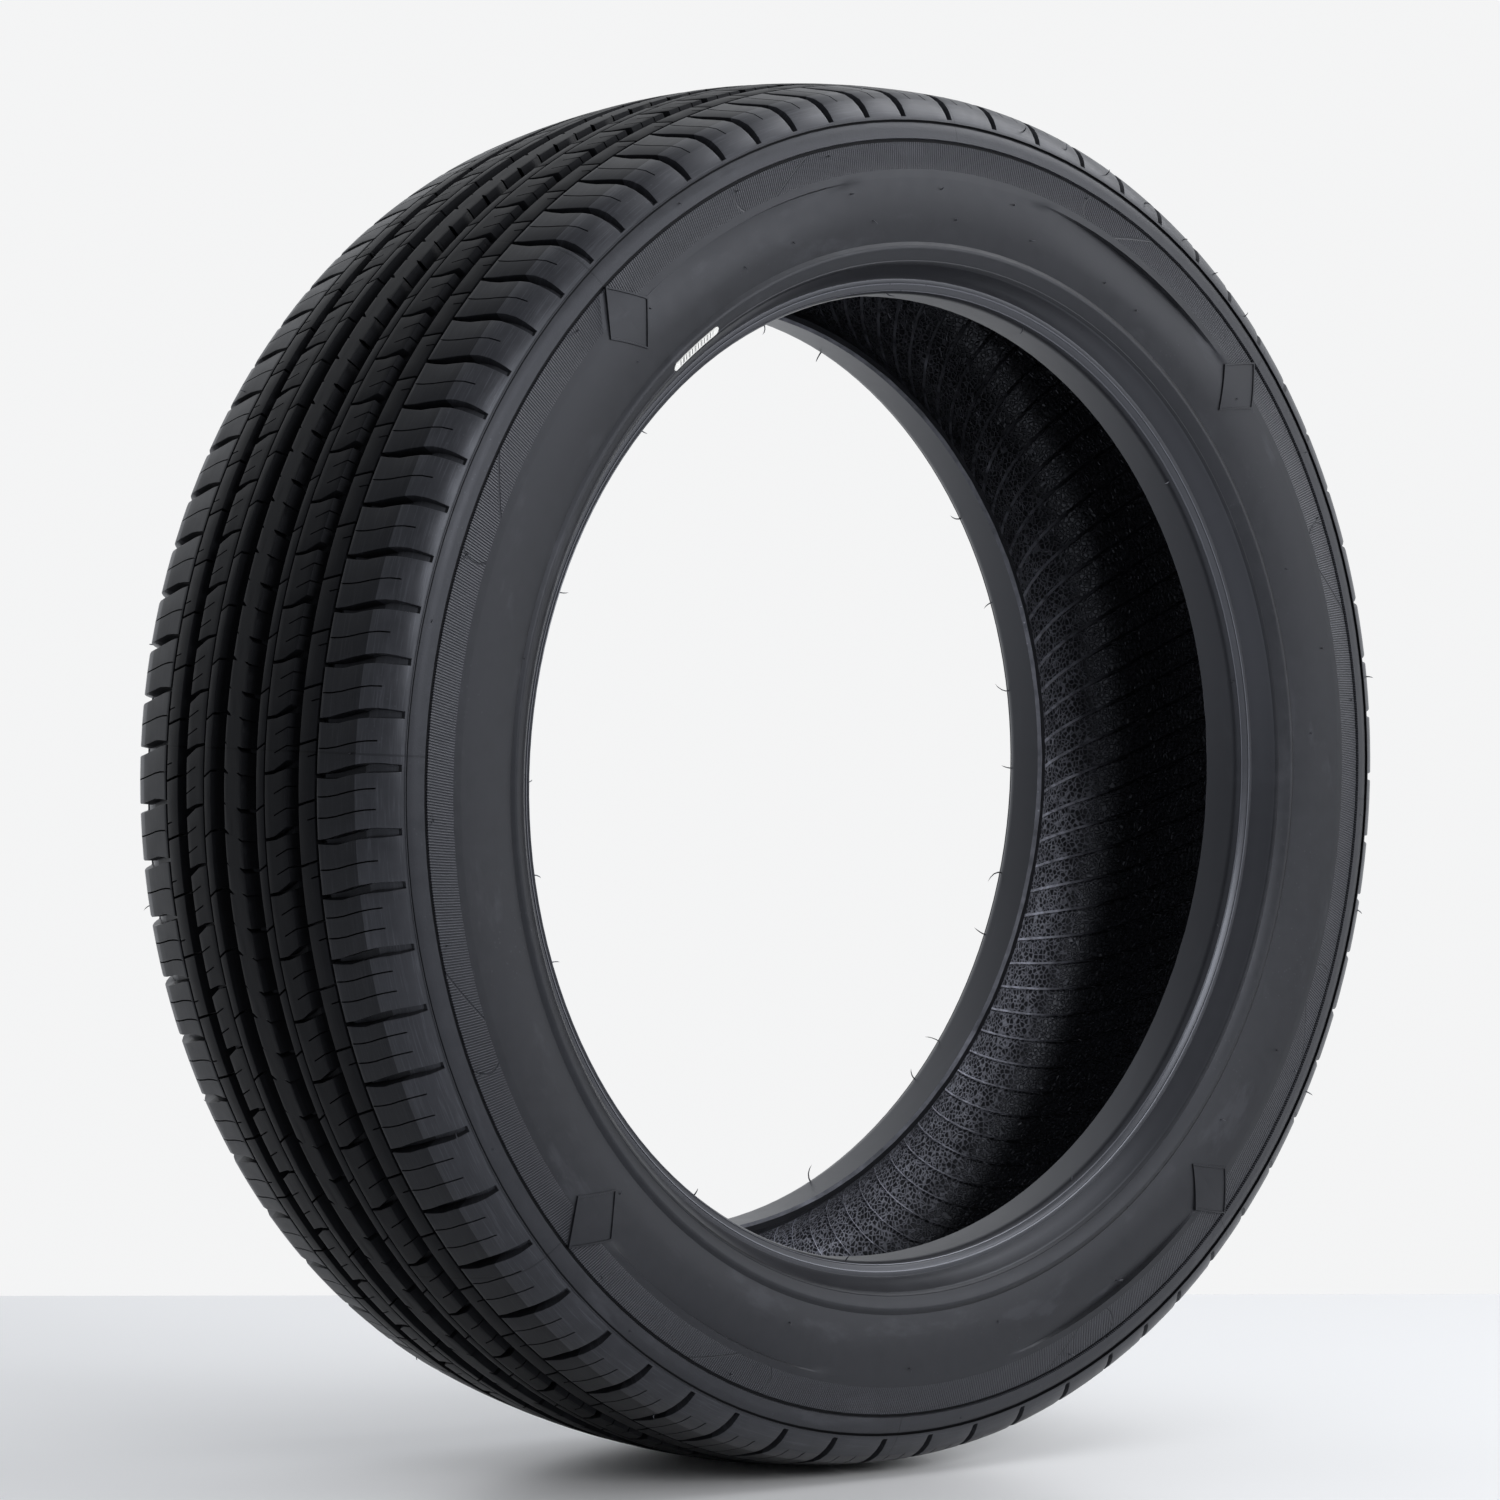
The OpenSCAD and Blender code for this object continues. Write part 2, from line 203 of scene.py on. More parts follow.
def zip_rings(a, b, kind):
    """Joins two rings of different rows by always stepping to the nearer next point."""
    full = 2 * math.pi
    start = a["angles"][0]
    count_a, count_b = len(a["ids"]), len(b["ids"])
    turned = [(angle - start + math.pi) % full - math.pi for angle in b["angles"]]
    first = min(range(count_b), key=lambda k: abs(turned[k]))
    angles_a = [angle - start for angle in a["angles"]] + [full]
    angles_b = []
    for k in range(count_b + 1):
        angle = turned[(first + k) % count_b]
        while angles_b and angle < angles_b[-1]:
            angle += full
        angles_b.append(angle)
    i = j = 0
    while i < count_a or j < count_b:
        ia, ib = a["ids"][i % count_a], b["ids"][(first + j) % count_b]
        step_a = j == count_b or (i < count_a and angles_a[i + 1] <= angles_b[j + 1])
        if step_a:
            faces.append((ia, a["ids"][(i + 1) % count_a], ib))
            i += 1
        else:
            faces.append((ia, b["ids"][(first + j + 1) % count_b], ib))
            j += 1
        face_kinds.append(kind)


def join(a, b, kind):
    if a["grid"] == b["grid"]:
        join_grid(a, b, kind)
    else:
        zip_rings(a, b, kind)


def join_outward(side, inner, outer, kind):
    """Joins two rings in the order that faces the rubber outwards on this side."""
    if side > 0:
        join(inner, outer, kind)
    else:
        join(outer, inner, kind)


# %% [markdown]
# A rib is a grid of columns across and rows round. Each cut in it, from the wide cross
# grooves to the hair-thin sipes, is a bundle of rows: the outer two lie on the tread, the
# next two are the softened lips, and the inner two are the floor. A sipe needs only three.
# The columns of a rib carry the depth of each cut, so a cut can start blunt, run out over
# the shoulder or stop half way.

# %% Columns and cuts of a rib
LIP = 0.5
LIP_DROP = 0.14
LIP_SHARE = 0.03
FLOOR_SHARE = 0.72
CORNER_ACROSS = 80.0


def crown_column(across, sunk=0.0):
    out = crown_centre.y + math.sqrt(CROWN_ARC ** 2 - across ** 2)
    return {"at": Vector((across, out)), "down": Vector((0, -1)), "sunk": sunk, "across": across}


def inner_edge(edge, lean, depth):
    """The columns at the side of a rib that is nearer the middle of the tread."""
    wall = [crown_column(edge - lean, depth), crown_column(edge, LIP_DROP)]
    return wall + [crown_column(edge + LIP)]


def outer_edge(edge, lean, depth):
    wall = [crown_column(edge, LIP_DROP), crown_column(edge + lean, depth)]
    return [crown_column(edge - LIP)] + wall


def shoulder_column(angle):
    at = shoulder_centre + facing(angle) * SHOULDER
    return {"at": at, "down": -facing(angle), "sunk": 0.0, "across": at.x}


def groove_cut(phase, half, depth):
    """Rows of a groove: offset factor of its half width, extra offset, share of its depth."""
    rows = ((-1, -LIP, 0), (-1, 0, LIP_SHARE), (-FLOOR_SHARE, 0, 1),
            (FLOOR_SHARE, 0, 1), (1, 0, LIP_SHARE), (1, LIP, 0))
    return {"phase": phase, "half": half, "depth": depth, "rows": rows}


def sipe_cut(phase, half, depth):
    rows = ((-1, 0, 0), (0, 0, 1), (1, 0, 0))
    return {"phase": phase, "half": half, "depth": depth, "rows": rows}


def plain_row(phase):
    return {"phase": phase, "half": lambda w: 0, "depth": lambda w: 0, "rows": ((0, 0, 0),)}


def rib(name, side, columns, skew, cuts, kind_name):
    """Builds one rib on one half of the tread and returns its rings from inside to outside."""
    pitches = near_pitches if side > 0 else far_pitches
    rows = []
    for anchor, width in pitches:
        for cut in cuts(width):
            for factor, extra, share in cut["rows"]:
                base = math.radians(anchor - side * cut["phase"] * width)
                rows.append((base, factor, extra, share, cut))
    rows.sort(key=lambda row: (row[0], side * row[1], side * row[2]))
    rings = []
    for column in columns:
        across = column["across"]
        shift = skew(across)
        entries = []
        for base, factor, extra, share, cut in rows:
            arc_offset = shift + factor * cut["half"](across) + extra
            depth = max(column["sunk"], share * cut["depth"](across))
            at = column["at"] + column["down"] * depth
            entries.append((side * at.x, at.y, base + side * arc_offset / CROWN))
        rings.append(ring(f"{name} {side}", entries))
    for a, b, column in zip(rings, rings[1:], columns[1:]):
        kind = "corner" if column["across"] > CORNER_ACROSS else kind_name
        join_outward(side, a, b, kind)
    return rings


def between(value, low, high):
    return low <= value <= high


def ramp(value, points_on_ramp):
    """Straight-line steps between pairs of (place, height)."""
    places = [p[0] for p in points_on_ramp]
    k = bisect.bisect_right(places, value)
    if k == 0:
        return points_on_ramp[0][1]
    if k == len(places):
        return points_on_ramp[-1][1]
    (x0, y0), (x1, y1) = points_on_ramp[k - 1], points_on_ramp[k]
    return y0 + (y1 - y0) * (value - x0) / (x1 - x0)


# %% [markdown]
# The shoulder block is the widest. Its cross groove starts as a narrow throat at the thin
# groove, opens to full width, bends once like a slack S and dies out just past the corner of
# the tread. Between two cross grooves lie one or two sipes, depending on the pitch.

# %% Shoulder blocks
CROSS_END = 67.4
SIPE_SPAN = (57.6, 88.0)
SIPE_DEPTH = 3.8
SIPE_HALF = 0.34
LONG_PITCH = 4.9


def shoulder_skew(across):
    return ramp(across, ((56.0, 0.0), (62.0, -0.2), (68.0, -1.1), (75.0, -2.8), (81.0, -4.0),
                         (86.0, -4.6), (94.0, -4.6)))


def cross_half(across):
    return ramp(across, ((57.0, 1.0), (61.0, 1.3), (68.0, 2.1), (90.0, 2.3), (94.6, 1.7)))


def cross_depth(across):
    end = (shoulder_centre + facing(CROSS_END) * SHOULDER).x
    return ramp(across, ((56.0, THIN_DEPTH), (57.4, 3.4), (58.6, 3.2), (63.0, CROSS_DEPTH),
                         (79.0, CROSS_DEPTH), (88.0, 4.8), (end - 0.3, 2.6), (end, 0.0)))


def shoulder_sipe_depth(across):
    return SIPE_DEPTH if between(across, *SIPE_SPAN) else 0.0


def thin_half(across):
    return SIPE_HALF


def shoulder_cuts(width):
    sipes = (0.36, 0.68) if width > LONG_PITCH else (0.49,)
    made = [groove_cut(0.0, cross_half, cross_depth)]
    made += [sipe_cut(place_in_pitch, thin_half, shoulder_sipe_depth) for place_in_pitch in sipes]
    return made


def shoulder_columns():
    tread = [crown_column(w) for w in (58.6, 62.5, 68.0, 73.5, tread_edge)]
    corner = [shoulder_column(a) for a in (24, 37.5, 38.5, 50, 60, 65.4, CROSS_END, 69)]
    return inner_edge(THIN_GROOVE[1], THIN_LEAN, THIN_DEPTH) + tread + corner


# %% [markdown]
# The narrow rib beside the shoulder is crossed once a pitch by a slanted cut, and has one
# tiny nick between. The slotted rib carries tapering slots that open into the outer main
# groove, with two short sipes between them.

# %% Narrow rib and slotted rib
NICK_SPAN = (51.0, 55.3)
NICK_DEPTH = 3.2
SHORT_SIPE_SPAN = (29.6, 38.0)
SHORT_SIPE_DEPTH = 3.6


def narrow_skew(across):
    return ramp(across, ((45.4, 0.0), (55.2, -2.5)))


def nick_depth(across):
    return NICK_DEPTH if between(across, *NICK_SPAN) else 0.0


def narrow_cuts(width):
    return [
        groove_cut(0.55, lambda w: 0.6, lambda w: THIN_DEPTH - 0.4),
        sipe_cut(0.28, thin_half, nick_depth),
        plain_row(0.9),
    ]


def narrow_columns():
    middle = [crown_column(50.7), crown_column(51.1)]
    return (inner_edge(OUTER_GROOVE[1], LEAN, MAIN_DEPTH) + middle
            + outer_edge(THIN_GROOVE[0], THIN_LEAN, THIN_DEPTH))


def slotted_skew(across):
    return ramp(across, ((23.2, 0.0), (29.0, -0.8), (37.2, -4.4), (39.1, -4.6)))


def slot_half(across):
    return ramp(across, ((23.2, 0.7), (29.0, 0.9), (37.2, 1.9), (39.1, 2.1)))


def half_way_sipe(across):
    return SHORT_SIPE_DEPTH if between(across, *SHORT_SIPE_SPAN) else 0.0


def slotted_cuts(width):
    return [
        groove_cut(0.0, slot_half, lambda w: THIN_DEPTH),
        sipe_cut(0.34, thin_half, half_way_sipe),
        sipe_cut(0.67, thin_half, half_way_sipe),
    ]


def slotted_columns():
    middle = [crown_column(w) for w in (26.4, 29.3, 29.7, 33.5)]
    return (inner_edge(SLIT[1], THIN_LEAN, THIN_DEPTH) + middle
            + outer_edge(OUTER_GROOVE[0], LEAN, MAIN_DEPTH))


# %% [markdown]
# A narrow strip stands between each inner groove and the slit. One slanted cut a pitch
# crosses it, and opposite that cut a thorn-shaped nick bites into the centre rib, so that
# the two make a pointed arch over the groove. The far edge of the centre rib has smaller
# nicks.

# %% Strip and centre rib
def strip_skew(across):
    return ramp(across, ((15.3, 0.6), (17.2, 0.0), (22.2, -2.8)))


def strip_cuts(width):
    return [
        groove_cut(0.43, lambda w: 0.55, lambda w: THIN_DEPTH - 0.8),
        plain_row(0.92),
    ]


def strip_columns():
    return (inner_edge(INNER_GROOVE[1], LEAN, MAIN_DEPTH)
            + outer_edge(SLIT[0], THIN_LEAN, THIN_DEPTH))


def centre_skew(across):
    return ramp(across, ((3.2, 0.0), (8.1, 2.2)))


def thorn_half(across):
    return ramp(across, ((3.2, 0.35), (6.2, 1.0), (8.1, 1.2)))


def centre_cuts(side):
    """The near half has larger nicks, which reach further in."""
    large, small, start = (5.2, 3.6, 3.6) if side > 0 else (3.4, 2.6, 4.3)

    def made(width):
        return [
            groove_cut(0.46, thorn_half, lambda w: large if w > start else 0.0),
            sipe_cut(0.0, lambda w: 0.45, lambda w: small if w > start + 0.5 else 0.0),
            plain_row(0.75),
        ]
    return made


def centre_columns():
    middle = [crown_column(w) for w in (0.7, 3.2, 4.4)]
    return middle + outer_edge(INNER_GROOVE[0], LEAN, MAIN_DEPTH)


# %% Build both halves of the tread
tread_rings = {}
for side in (1, -1):
    tread_rings[side] = [
        rib("centre", side, centre_columns(), centre_skew, centre_cuts(side), "tread"),
        rib("strip", side, strip_columns(), strip_skew, strip_cuts, "tread"),
        rib("slotted", side, slotted_columns(), slotted_skew, slotted_cuts, "tread"),
        rib("narrow", side, narrow_columns(), narrow_skew, narrow_cuts, "tread"),
        rib("shoulder", side, shoulder_columns(), shoulder_skew, shoulder_cuts, "block"),
    ]
    for inner, outer in zip(tread_rings[side], tread_rings[side][1:]):
        join_outward(side, inner[-1], outer[0], "tread")
join(tread_rings[-1][0][0], tread_rings[1][0][0], "tread")
print("tread:", len(points), "points,", len(faces), "faces")

# %% [markdown]
# Below the shoulder the tyre is a plain turned shape: a fine line where the mould's tread
# ring meets its side plate, the ribbed band, the sidewall, the protector ridge, and the
# bead with its heel, seat and toe. The toe is left a little rough where the rubber flashed
# between the mould and the bead ring. Two raised lines run round the heel.

# %% Sidewall and bead outline
LINE_DEPTH = 0.6
LINE_RISE = 0.35
BAND = (298.0, 281.0)
BAND_DEPTH = 0.5
RIDGE = 248.4
RIDGE_WIDTH = 2.1
RIDGE_HEIGHT = 1.2
SLOPE = Vector((-4.6, -6.8))


def wall_facing(radius):
    return math.degrees(math.acos((radius - WIDEST) / WALL_ARC))


wall_end = wall_facing(RIDGE + RIDGE_WIDTH * 1.2)
ridge_out = wall_centre.x + WALL_ARC * math.sin(math.radians(wall_end)) + RIDGE_HEIGHT
slope_top = Vector((ridge_out, RIDGE - RIDGE_WIDTH / 2))
slope_foot = slope_top + SLOPE
seat_outer = HEEL_FACE - HEEL
seat_inner = seat_outer - SEAT_WIDTH
heel_centre = Vector((seat_outer, SEAT + HEEL))
toe = Vector((seat_inner - TOE_BEVEL, SEAT + TOE_BEVEL))


def on_wall(radius, sunk=0.0):
    return wall_centre + facing(wall_facing(radius)) * (WALL_ARC - sunk)


def on_shoulder(angle, raised=0.0):
    return shoulder_centre + facing(angle) * (SHOULDER + raised)


def on_heel(angle, raised=0.0):
    return heel_centre + facing(angle) * (HEEL + raised)


# Places are angles on the arcs of the shoulder and the heel, and radii on the wall
shoulder_band = [
    on_shoulder(70.4),
    on_shoulder(70.9, LINE_RISE),
    on_shoulder(71.7, LINE_RISE),
    on_shoulder(71.9, -LINE_DEPTH),
    on_shoulder(74.2, -LINE_DEPTH),
    on_wall(305.4),
    on_wall(302.0),
    on_wall(BAND[0] + 0.9),
]
ribbed_band = [
    on_wall(BAND[0] + 0.65, LINE_DEPTH + BAND_DEPTH),
    on_wall(BAND[0] - 0.5, LINE_DEPTH + BAND_DEPTH),
    on_wall(BAND[0] - 0.8, BAND_DEPTH),
    on_wall(292.5, BAND_DEPTH),
    on_wall(287.5, BAND_DEPTH),
    on_wall(BAND[1] + 3.5, BAND_DEPTH * 0.6),
]
wall_radii = (BAND[1], 280.3, 277.0, 273.5, 270.0, 266.5, 263.0, 260.0, 254.0)
sidewall = [on_wall(r) for r in wall_radii] + [
    wall_centre + facing(wall_end) * WALL_ARC,
    Vector((ridge_out - 0.35, RIDGE + RIDGE_WIDTH / 2 + 0.1)),
    Vector((ridge_out, RIDGE + RIDGE_WIDTH / 2 - 0.5)),
    slope_top,
    slope_top + SLOPE * 0.72,
    slope_top + SLOPE * 0.8 + Vector((0.45, 0.1)),
    slope_foot + Vector((0.3, 0.2)),
]
bead_lines = []
for line_facing in (106.6, 135.6):
    bead_lines += [
        on_heel(line_facing - 3.4),
        on_heel(line_facing - 2.2, LINE_RISE),
        on_heel(line_facing + 1.6, LINE_RISE),
        on_heel(line_facing + 3.0),
    ]
bead = [
    slope_foot + Vector((-0.9, -0.35)),
    slope_foot * 0.4 + Vector((HEEL_FACE, heel_centre.y)) * 0.6,
    on_heel(88),
    on_heel(96),
] + bead_lines[:4] + [on_heel(121)] + bead_lines[4:] + [
    on_heel(152),
    on_heel(166),
    on_heel(180),
    Vector((seat_inner, SEAT)),
    toe,
]
side_path = shoulder_band + ribbed_band + sidewall + bead
print("side outline has", len(side_path), "points")

# %% [markdown]
# Every stretch of the outline has its own finish. The floors of the two mould lines get a
# near-black one, which is painted shade, and the tops of the two raised lines on the heel a
# pale glossy one, which is a painted highlight, so that they read as lines.

# %% Finish of each stretch of the side
SHADED_LINE_FLOORS = (3, 4, len(shoulder_band) + 1)
HIGHLIT_HEEL_LINES = (6, 11)
side_kinds = ["shoulder band"] * len(shoulder_band) + ["ribbed band"] * len(ribbed_band)
side_kinds += ["sidewall"] * len(sidewall)
bead_start = len(side_kinds)
side_kinds += ["bead"] * (len(bead) - 5) + ["seat"] * 4 + ["toe"]
# Painted shade: the floors of the mould lines get a near-black finish.
for index in SHADED_LINE_FLOORS:
    side_kinds[index] = "mould line shade"
# Painted highlight: the tops of the heel lines get a pale glossy finish.
for index in HIGHLIT_HEEL_LINES:
    side_kinds[bead_start + index] = "bead line highlight"

# %% [markdown]
# The inside follows the outside at a distance: a bend from the toe up to the wall, an arc
# below the sidewall and the shoulder, and a wide arc under the crown.

# %% Inside outline, from the toe to the crown
inner_crown = CROWN_ARC - CROWN_THICKNESS
inner_wall = WALL_ARC - WALL_THICKNESS
inner_centre = rounding_centre(crown_centre, inner_crown, wall_centre, inner_wall, INNER_SHOULDER)
inner_start = facing_of(inner_centre - crown_centre)
inner_end = facing_of(inner_centre - wall_centre)
bead_foot = toe + Vector((0.6, 3.0))
bead_top = wall_centre + facing(inner_end) * inner_wall
bead_bend = Vector((bead_top.x, RIDGE - RIDGE_WIDTH))


def bend(t):
    return bead_foot * (1 - t) ** 2 + bead_bend * (2 * t * (1 - t)) + bead_top * t ** 2


inner_path = [bend(i / 6) for i in range(6)]
inner_path += arc(inner_centre, INNER_SHOULDER, inner_end, 40, 4)

# %% [markdown]
# The liner is the last thing the curing bladder touches. The bladder's vent channels leave
# slanted ridges from bead to bead, about 16 mm apart. They are real relief here, because the
# light rakes over them through the hub opening. The upper face of each one is also painted
# paler, as a painted highlight.

# %% Liner ridges over the inside
RIDGES = 123
RIDGE_PITCH = 16.0
RIDGE_ROWS = ((-1.3 / RIDGE_PITCH, 0.0), (-0.2 / RIDGE_PITCH, 1.0), (1.1 / RIDGE_PITCH, 0.0))
RIDGE_FADE = 10.0
LINER_SLANT = 0.44
liner_arc = arc(crown_centre, inner_crown, inner_start * 0.8, 0, 4)
liner_half = arc(inner_centre, INNER_SHOULDER, 36, inner_start, 2) + liner_arc
liner_path = liner_half + [Vector((-p.x, p.y)) for p in reversed(liner_half[:-1])]
BEAD_REACH = 240.0


def liner_ring(at, inward, run):
    """A ring of the inside, with the ridges standing on it along the inward direction."""
    fade = min(1.0, max(0.0, (at.y - BEAD_REACH) / RIDGE_FADE))
    entries = []
    for k in range(RIDGES):
        for share, height in RIDGE_ROWS:
            angle = (k + share) * 2 * math.pi / RIDGES - run * LINER_SLANT / CROWN
            spot = at + inward * height * fade
            entries.append((spot.x, spot.y, angle))
    return ring("liner", entries)


# %% [markdown]
# Below the band the wall has four long shallow scoops. Each one starts level near the
# protector ridge, sinks slowly outwards and ends at a crisp step under the band. Because it
# leans inwards, it looks darker than the wall around it.

# %% Scoops in the sidewall
SCOOP_ANGLES = (62.0, 118.0, 242.0, 298.0)
SCOOP_HALF = 15.5
SCOOP_DEPTH = 2.8
SCOOP_SPAN = (260.0, 280.5)
SCOOP_SHARES = ((261.0, 0.0), (267.0, 0.16), (273.5, 0.5), (280.3, 1.0), (280.9, 0.0))


def scoop_sink(radius, angle):
    degrees = math.degrees(angle)
    gap = min(abs((degrees - a + 180.0) % 360.0 - 180.0) for a in SCOOP_ANGLES)
    taper = max(0.0, 1.0 - (gap / SCOOP_HALF) ** 2)
    return SCOOP_DEPTH * taper * ramp(radius, SCOOP_SHARES)


# %% Turn the sides and the liner, and close the shell
SEGMENTS = 150
TOE_JITTER = 0.35
TOE_WAVES = (97, 41)


def paint_ridge_highlights():
    """Gives the upper face of every ridge in the strip of liner just made its own kind, with a
    paler colour that is a painted highlight.
    """
    first = len(face_kinds) - RIDGES * len(RIDGE_ROWS)
    for k in range(first + 1, len(face_kinds), len(RIDGE_ROWS)):
        face_kinds[k] = "ridge highlight"


def turned_ring(at, side, jitter=0.0, scooped=False):
    """A plain ring of the side. Jitter makes it wavy, like flashed rubber."""
    entries = []
    for k in range(SEGMENTS):
        angle = k * 2 * math.pi / SEGMENTS
        wobble = jitter * math.sin(TOE_WAVES[0] * angle) * math.sin(TOE_WAVES[1] * angle + side)
        spot = on_wall(at.y, scoop_sink(at.y, angle)) if scooped else at
        entries.append((side * spot.x + side * wobble, spot.y, angle))
    return ring(f"turned {side}", entries)


def inward_at(path, index):
    """Square to the path, towards the air inside."""
    before = path[max(index - 1, 0)]
    after = path[min(index + 1, len(path) - 1)]
    along = (after - before).normalized()
    return Vector((-along.y, along.x))


def inside_kind(index):
    """Smooth at the toes, pebbled everywhere else."""
    if index < 2 or index > len(inside_path) - 2:
        return "inner wall"
    return "liner"


closing_rings = {}
for side in (1, -1):
    last = tread_rings[side][-1][-1]
    for at, kind in zip(side_path, side_kinds):
        scooped = kind == "sidewall" and between(at.y, *SCOOP_SPAN)
        new = turned_ring(at, side, TOE_JITTER if at == toe else 0.0, scooped)
        join_outward(side, last, new, kind)
        last = new
    closing_rings[side] = last

inside_path = inner_path + liner_path + [Vector((-p.x, p.y)) for p in reversed(inner_path)]
last = closing_rings[1]
run = 0.0
for index, at in enumerate(inside_path):
    run += (at - inside_path[max(index - 1, 0)]).length
    new = liner_ring(at, inward_at(inside_path, index), run)
    join(last, new, inside_kind(index))
    if inside_kind(index) == "liner":
        paint_ridge_highlights()
    last = new
join(last, closing_rings[-1], "inner wall")
print("whole tyre:", len(points), "points,", len(faces), "faces")

# %% [markdown]
# Four raised diamonds stand on each sidewall, where a maker would mould a sign. Here they
# stay empty. Each is a shallow plate with a thin bar round it, which follows the curve of the
# wall and is sunk into it a little, so that it grows out of the rubber.

# %% Empty diamond frames on the sidewall
FRAME_ANGLES = (44.2, 133.4, 224.4, 314.2)
FRAME_RADIUS = 280.0
FRAME_TALL = 17.3
FRAME_WIDE = 14.0
FRAME_BAR = 1.5
FRAME_RISE = 0.75
FRAME_ROOT = -1.0
BAR_BEVEL = 0.2
PLATE_RISE = 0.15
PLATE_RINGS = (-4.0, -8.0, -12.0)


def on_side(side, at, angle):
    """A place on the section, turned to an angle in degrees, as (across, out, radians)."""
    return (side * at.x, at.y, math.radians(angle))


def diamond_corners(side, centre_angle, reach, rise):
    """The corners of a diamond that is larger than the frame's middle line by a reach."""
    corners = []
    for up, aside in ((1, 0), (0, 1), (-1, 0), (0, -1)):
        radius = FRAME_RADIUS + up * (FRAME_TALL + reach)
        turn_by = math.degrees(aside * (FRAME_WIDE + reach) / FRAME_RADIUS)
        corners.append((radius, centre_angle + side * turn_by, rise))
    return corners


def along_diamond(corners, steps=6):
    """Splits each side of the diamond, so that it follows the round wall."""
    spots = []
    for (r0, a0, rise), (r1, a1, _) in zip(corners, corners[1:] + corners[:1]):
        for k in range(steps):
            t = k / steps
            spots.append((r0 + (r1 - r0) * t, a0 + (a1 - a0) * t, rise))
    return spots


def raised_frame(side, centre_angle):
    """A shallow plate with a bar round it: rings from the foot of the bar to the middle."""
    half = FRAME_BAR / 2
    top = half - BAR_BEVEL
    profile = [(half, FRAME_ROOT), (top, FRAME_RISE), (-top, FRAME_RISE), (-half, PLATE_RISE)]
    profile += [(reach, PLATE_RISE) for reach in PLATE_RINGS]
    loops = []
    for reach, rise in profile:
        spots = along_diamond(diamond_corners(side, centre_angle, reach, rise))
        loops.append([place(*on_side(side, on_wall(r, -up), a)) for r, a, up in spots])
    count = len(loops[0])
    foot = place(*on_side(side, on_wall(FRAME_RADIUS, -FRAME_ROOT * 3), centre_angle))
    middle = place(*on_side(side, on_wall(FRAME_RADIUS, -PLATE_RISE), centre_angle))
    for k in range(count):
        n = (k + 1) % count
        for a, b in zip(loops, loops[1:]):
            faces.append((a[k], a[n], b[n], b[k]))
            face_kinds.append("sidewall")
        faces.append((loops[-1][k], loops[-1][n], middle))
        faces.append((loops[0][n], loops[0][k], foot))
        face_kinds.extend(["sidewall", "sidewall"])


def seen_from(side, angle):
    """The far side has the same pattern, turned half round about a radius."""
    return angle if side > 0 else 180.0 - angle


for side in (1, -1):
    for frame_angle in FRAME_ANGLES:
        raised_frame(side, seen_from(side, frame_angle))
print("frames:", 2 * len(FRAME_ANGLES))

# %% [markdown]
# A new tyre still wears its vent hairs: the mould lets the air out through pinholes, and the
# rubber that follows it sets as thin threads. Each one leaves the skin straight and curls
# over, and is a tapering tube of four sides. Their rings follow the mould: beads, sidewall,
# smooth band and the corner of the tread.

# %% Vent hairs
HAIR_SIDES = 4
HAIR_STEPS = 4
HAIR_THICK = 0.42
HAIR_TAPER = 0.6
HAIR_ROOT = 0.8
HAIR_LENGTHS = (0.75, 1.2)
HAIR_CURLS = (0.25, 0.75)
HEEL_SPOT = on_heel(155)
HAIR_RINGS = (
    (HEEL_SPOT, 5.6, (180.8, 191.2, 201.4, 137.1, 159.1, 114.6, 94.8, 71.9, 40.3, 12.5, 341.7,
                      301.2, 262.4, 236.8)),
    (on_wall(249.5), 3.0, (55.2, 122.5, 168.2, 213.0, 235.3, 304.0, 348.5)),
    (on_wall(262.0), 3.4, (60.5, 66.0, 77.8, 88.5, 100.1, 111.2, 118.2, 135.2, 225.2, 252.0,
                           281.5, 320.5, 5.5, 24.0)),
    (on_wall(275.5), 3.4, (43.5, 80.8, 90.8, 102.8, 130.8, 268.8, 298.4, 331.0, 14.2)),
    (on_wall(294.5), 3.6, (104.5, 116.0, 138.2, 161.0, 183.8, 194.5, 206.1, 229.0, 246.9, 290.2,
                           330.6, 8.2, 26.8, 71.5)),
    (on_wall(303.5), 2.6, (122.2, 167.5, 212.5, 234.8, 276.0, 357.0, 33.0)),
    (on_shoulder(52), 5.0, (79.5, 74.2, 68.8, 63.5, 57.7, 52.8, 47.3, 9.9, 348.1, 209.8, 330.2)),
    (on_shoulder(2), 3.4, (178.5, 96.0, 32.0, 300.0, 244.0)),
)
FAR_HEEL_HAIRS = (35.1, 22.8, 10.7, 0.5, 346.7, 338.1, 322.2, 315.8, 293.9, 67.8, 95.0, 160.0,
                  200.0, 240.0)
FAR_HEEL_LENGTH = 9.0
chance = random.Random(7)


def skin_facing(at):
    """Straight out of the rubber at a place on the section."""
    if at.y < HEEL + SEAT:
        return (at - heel_centre).normalized()
    if at.y > on_shoulder(70).y:
        return (at - shoulder_centre).normalized()
    return (at - wall_centre).normalized()


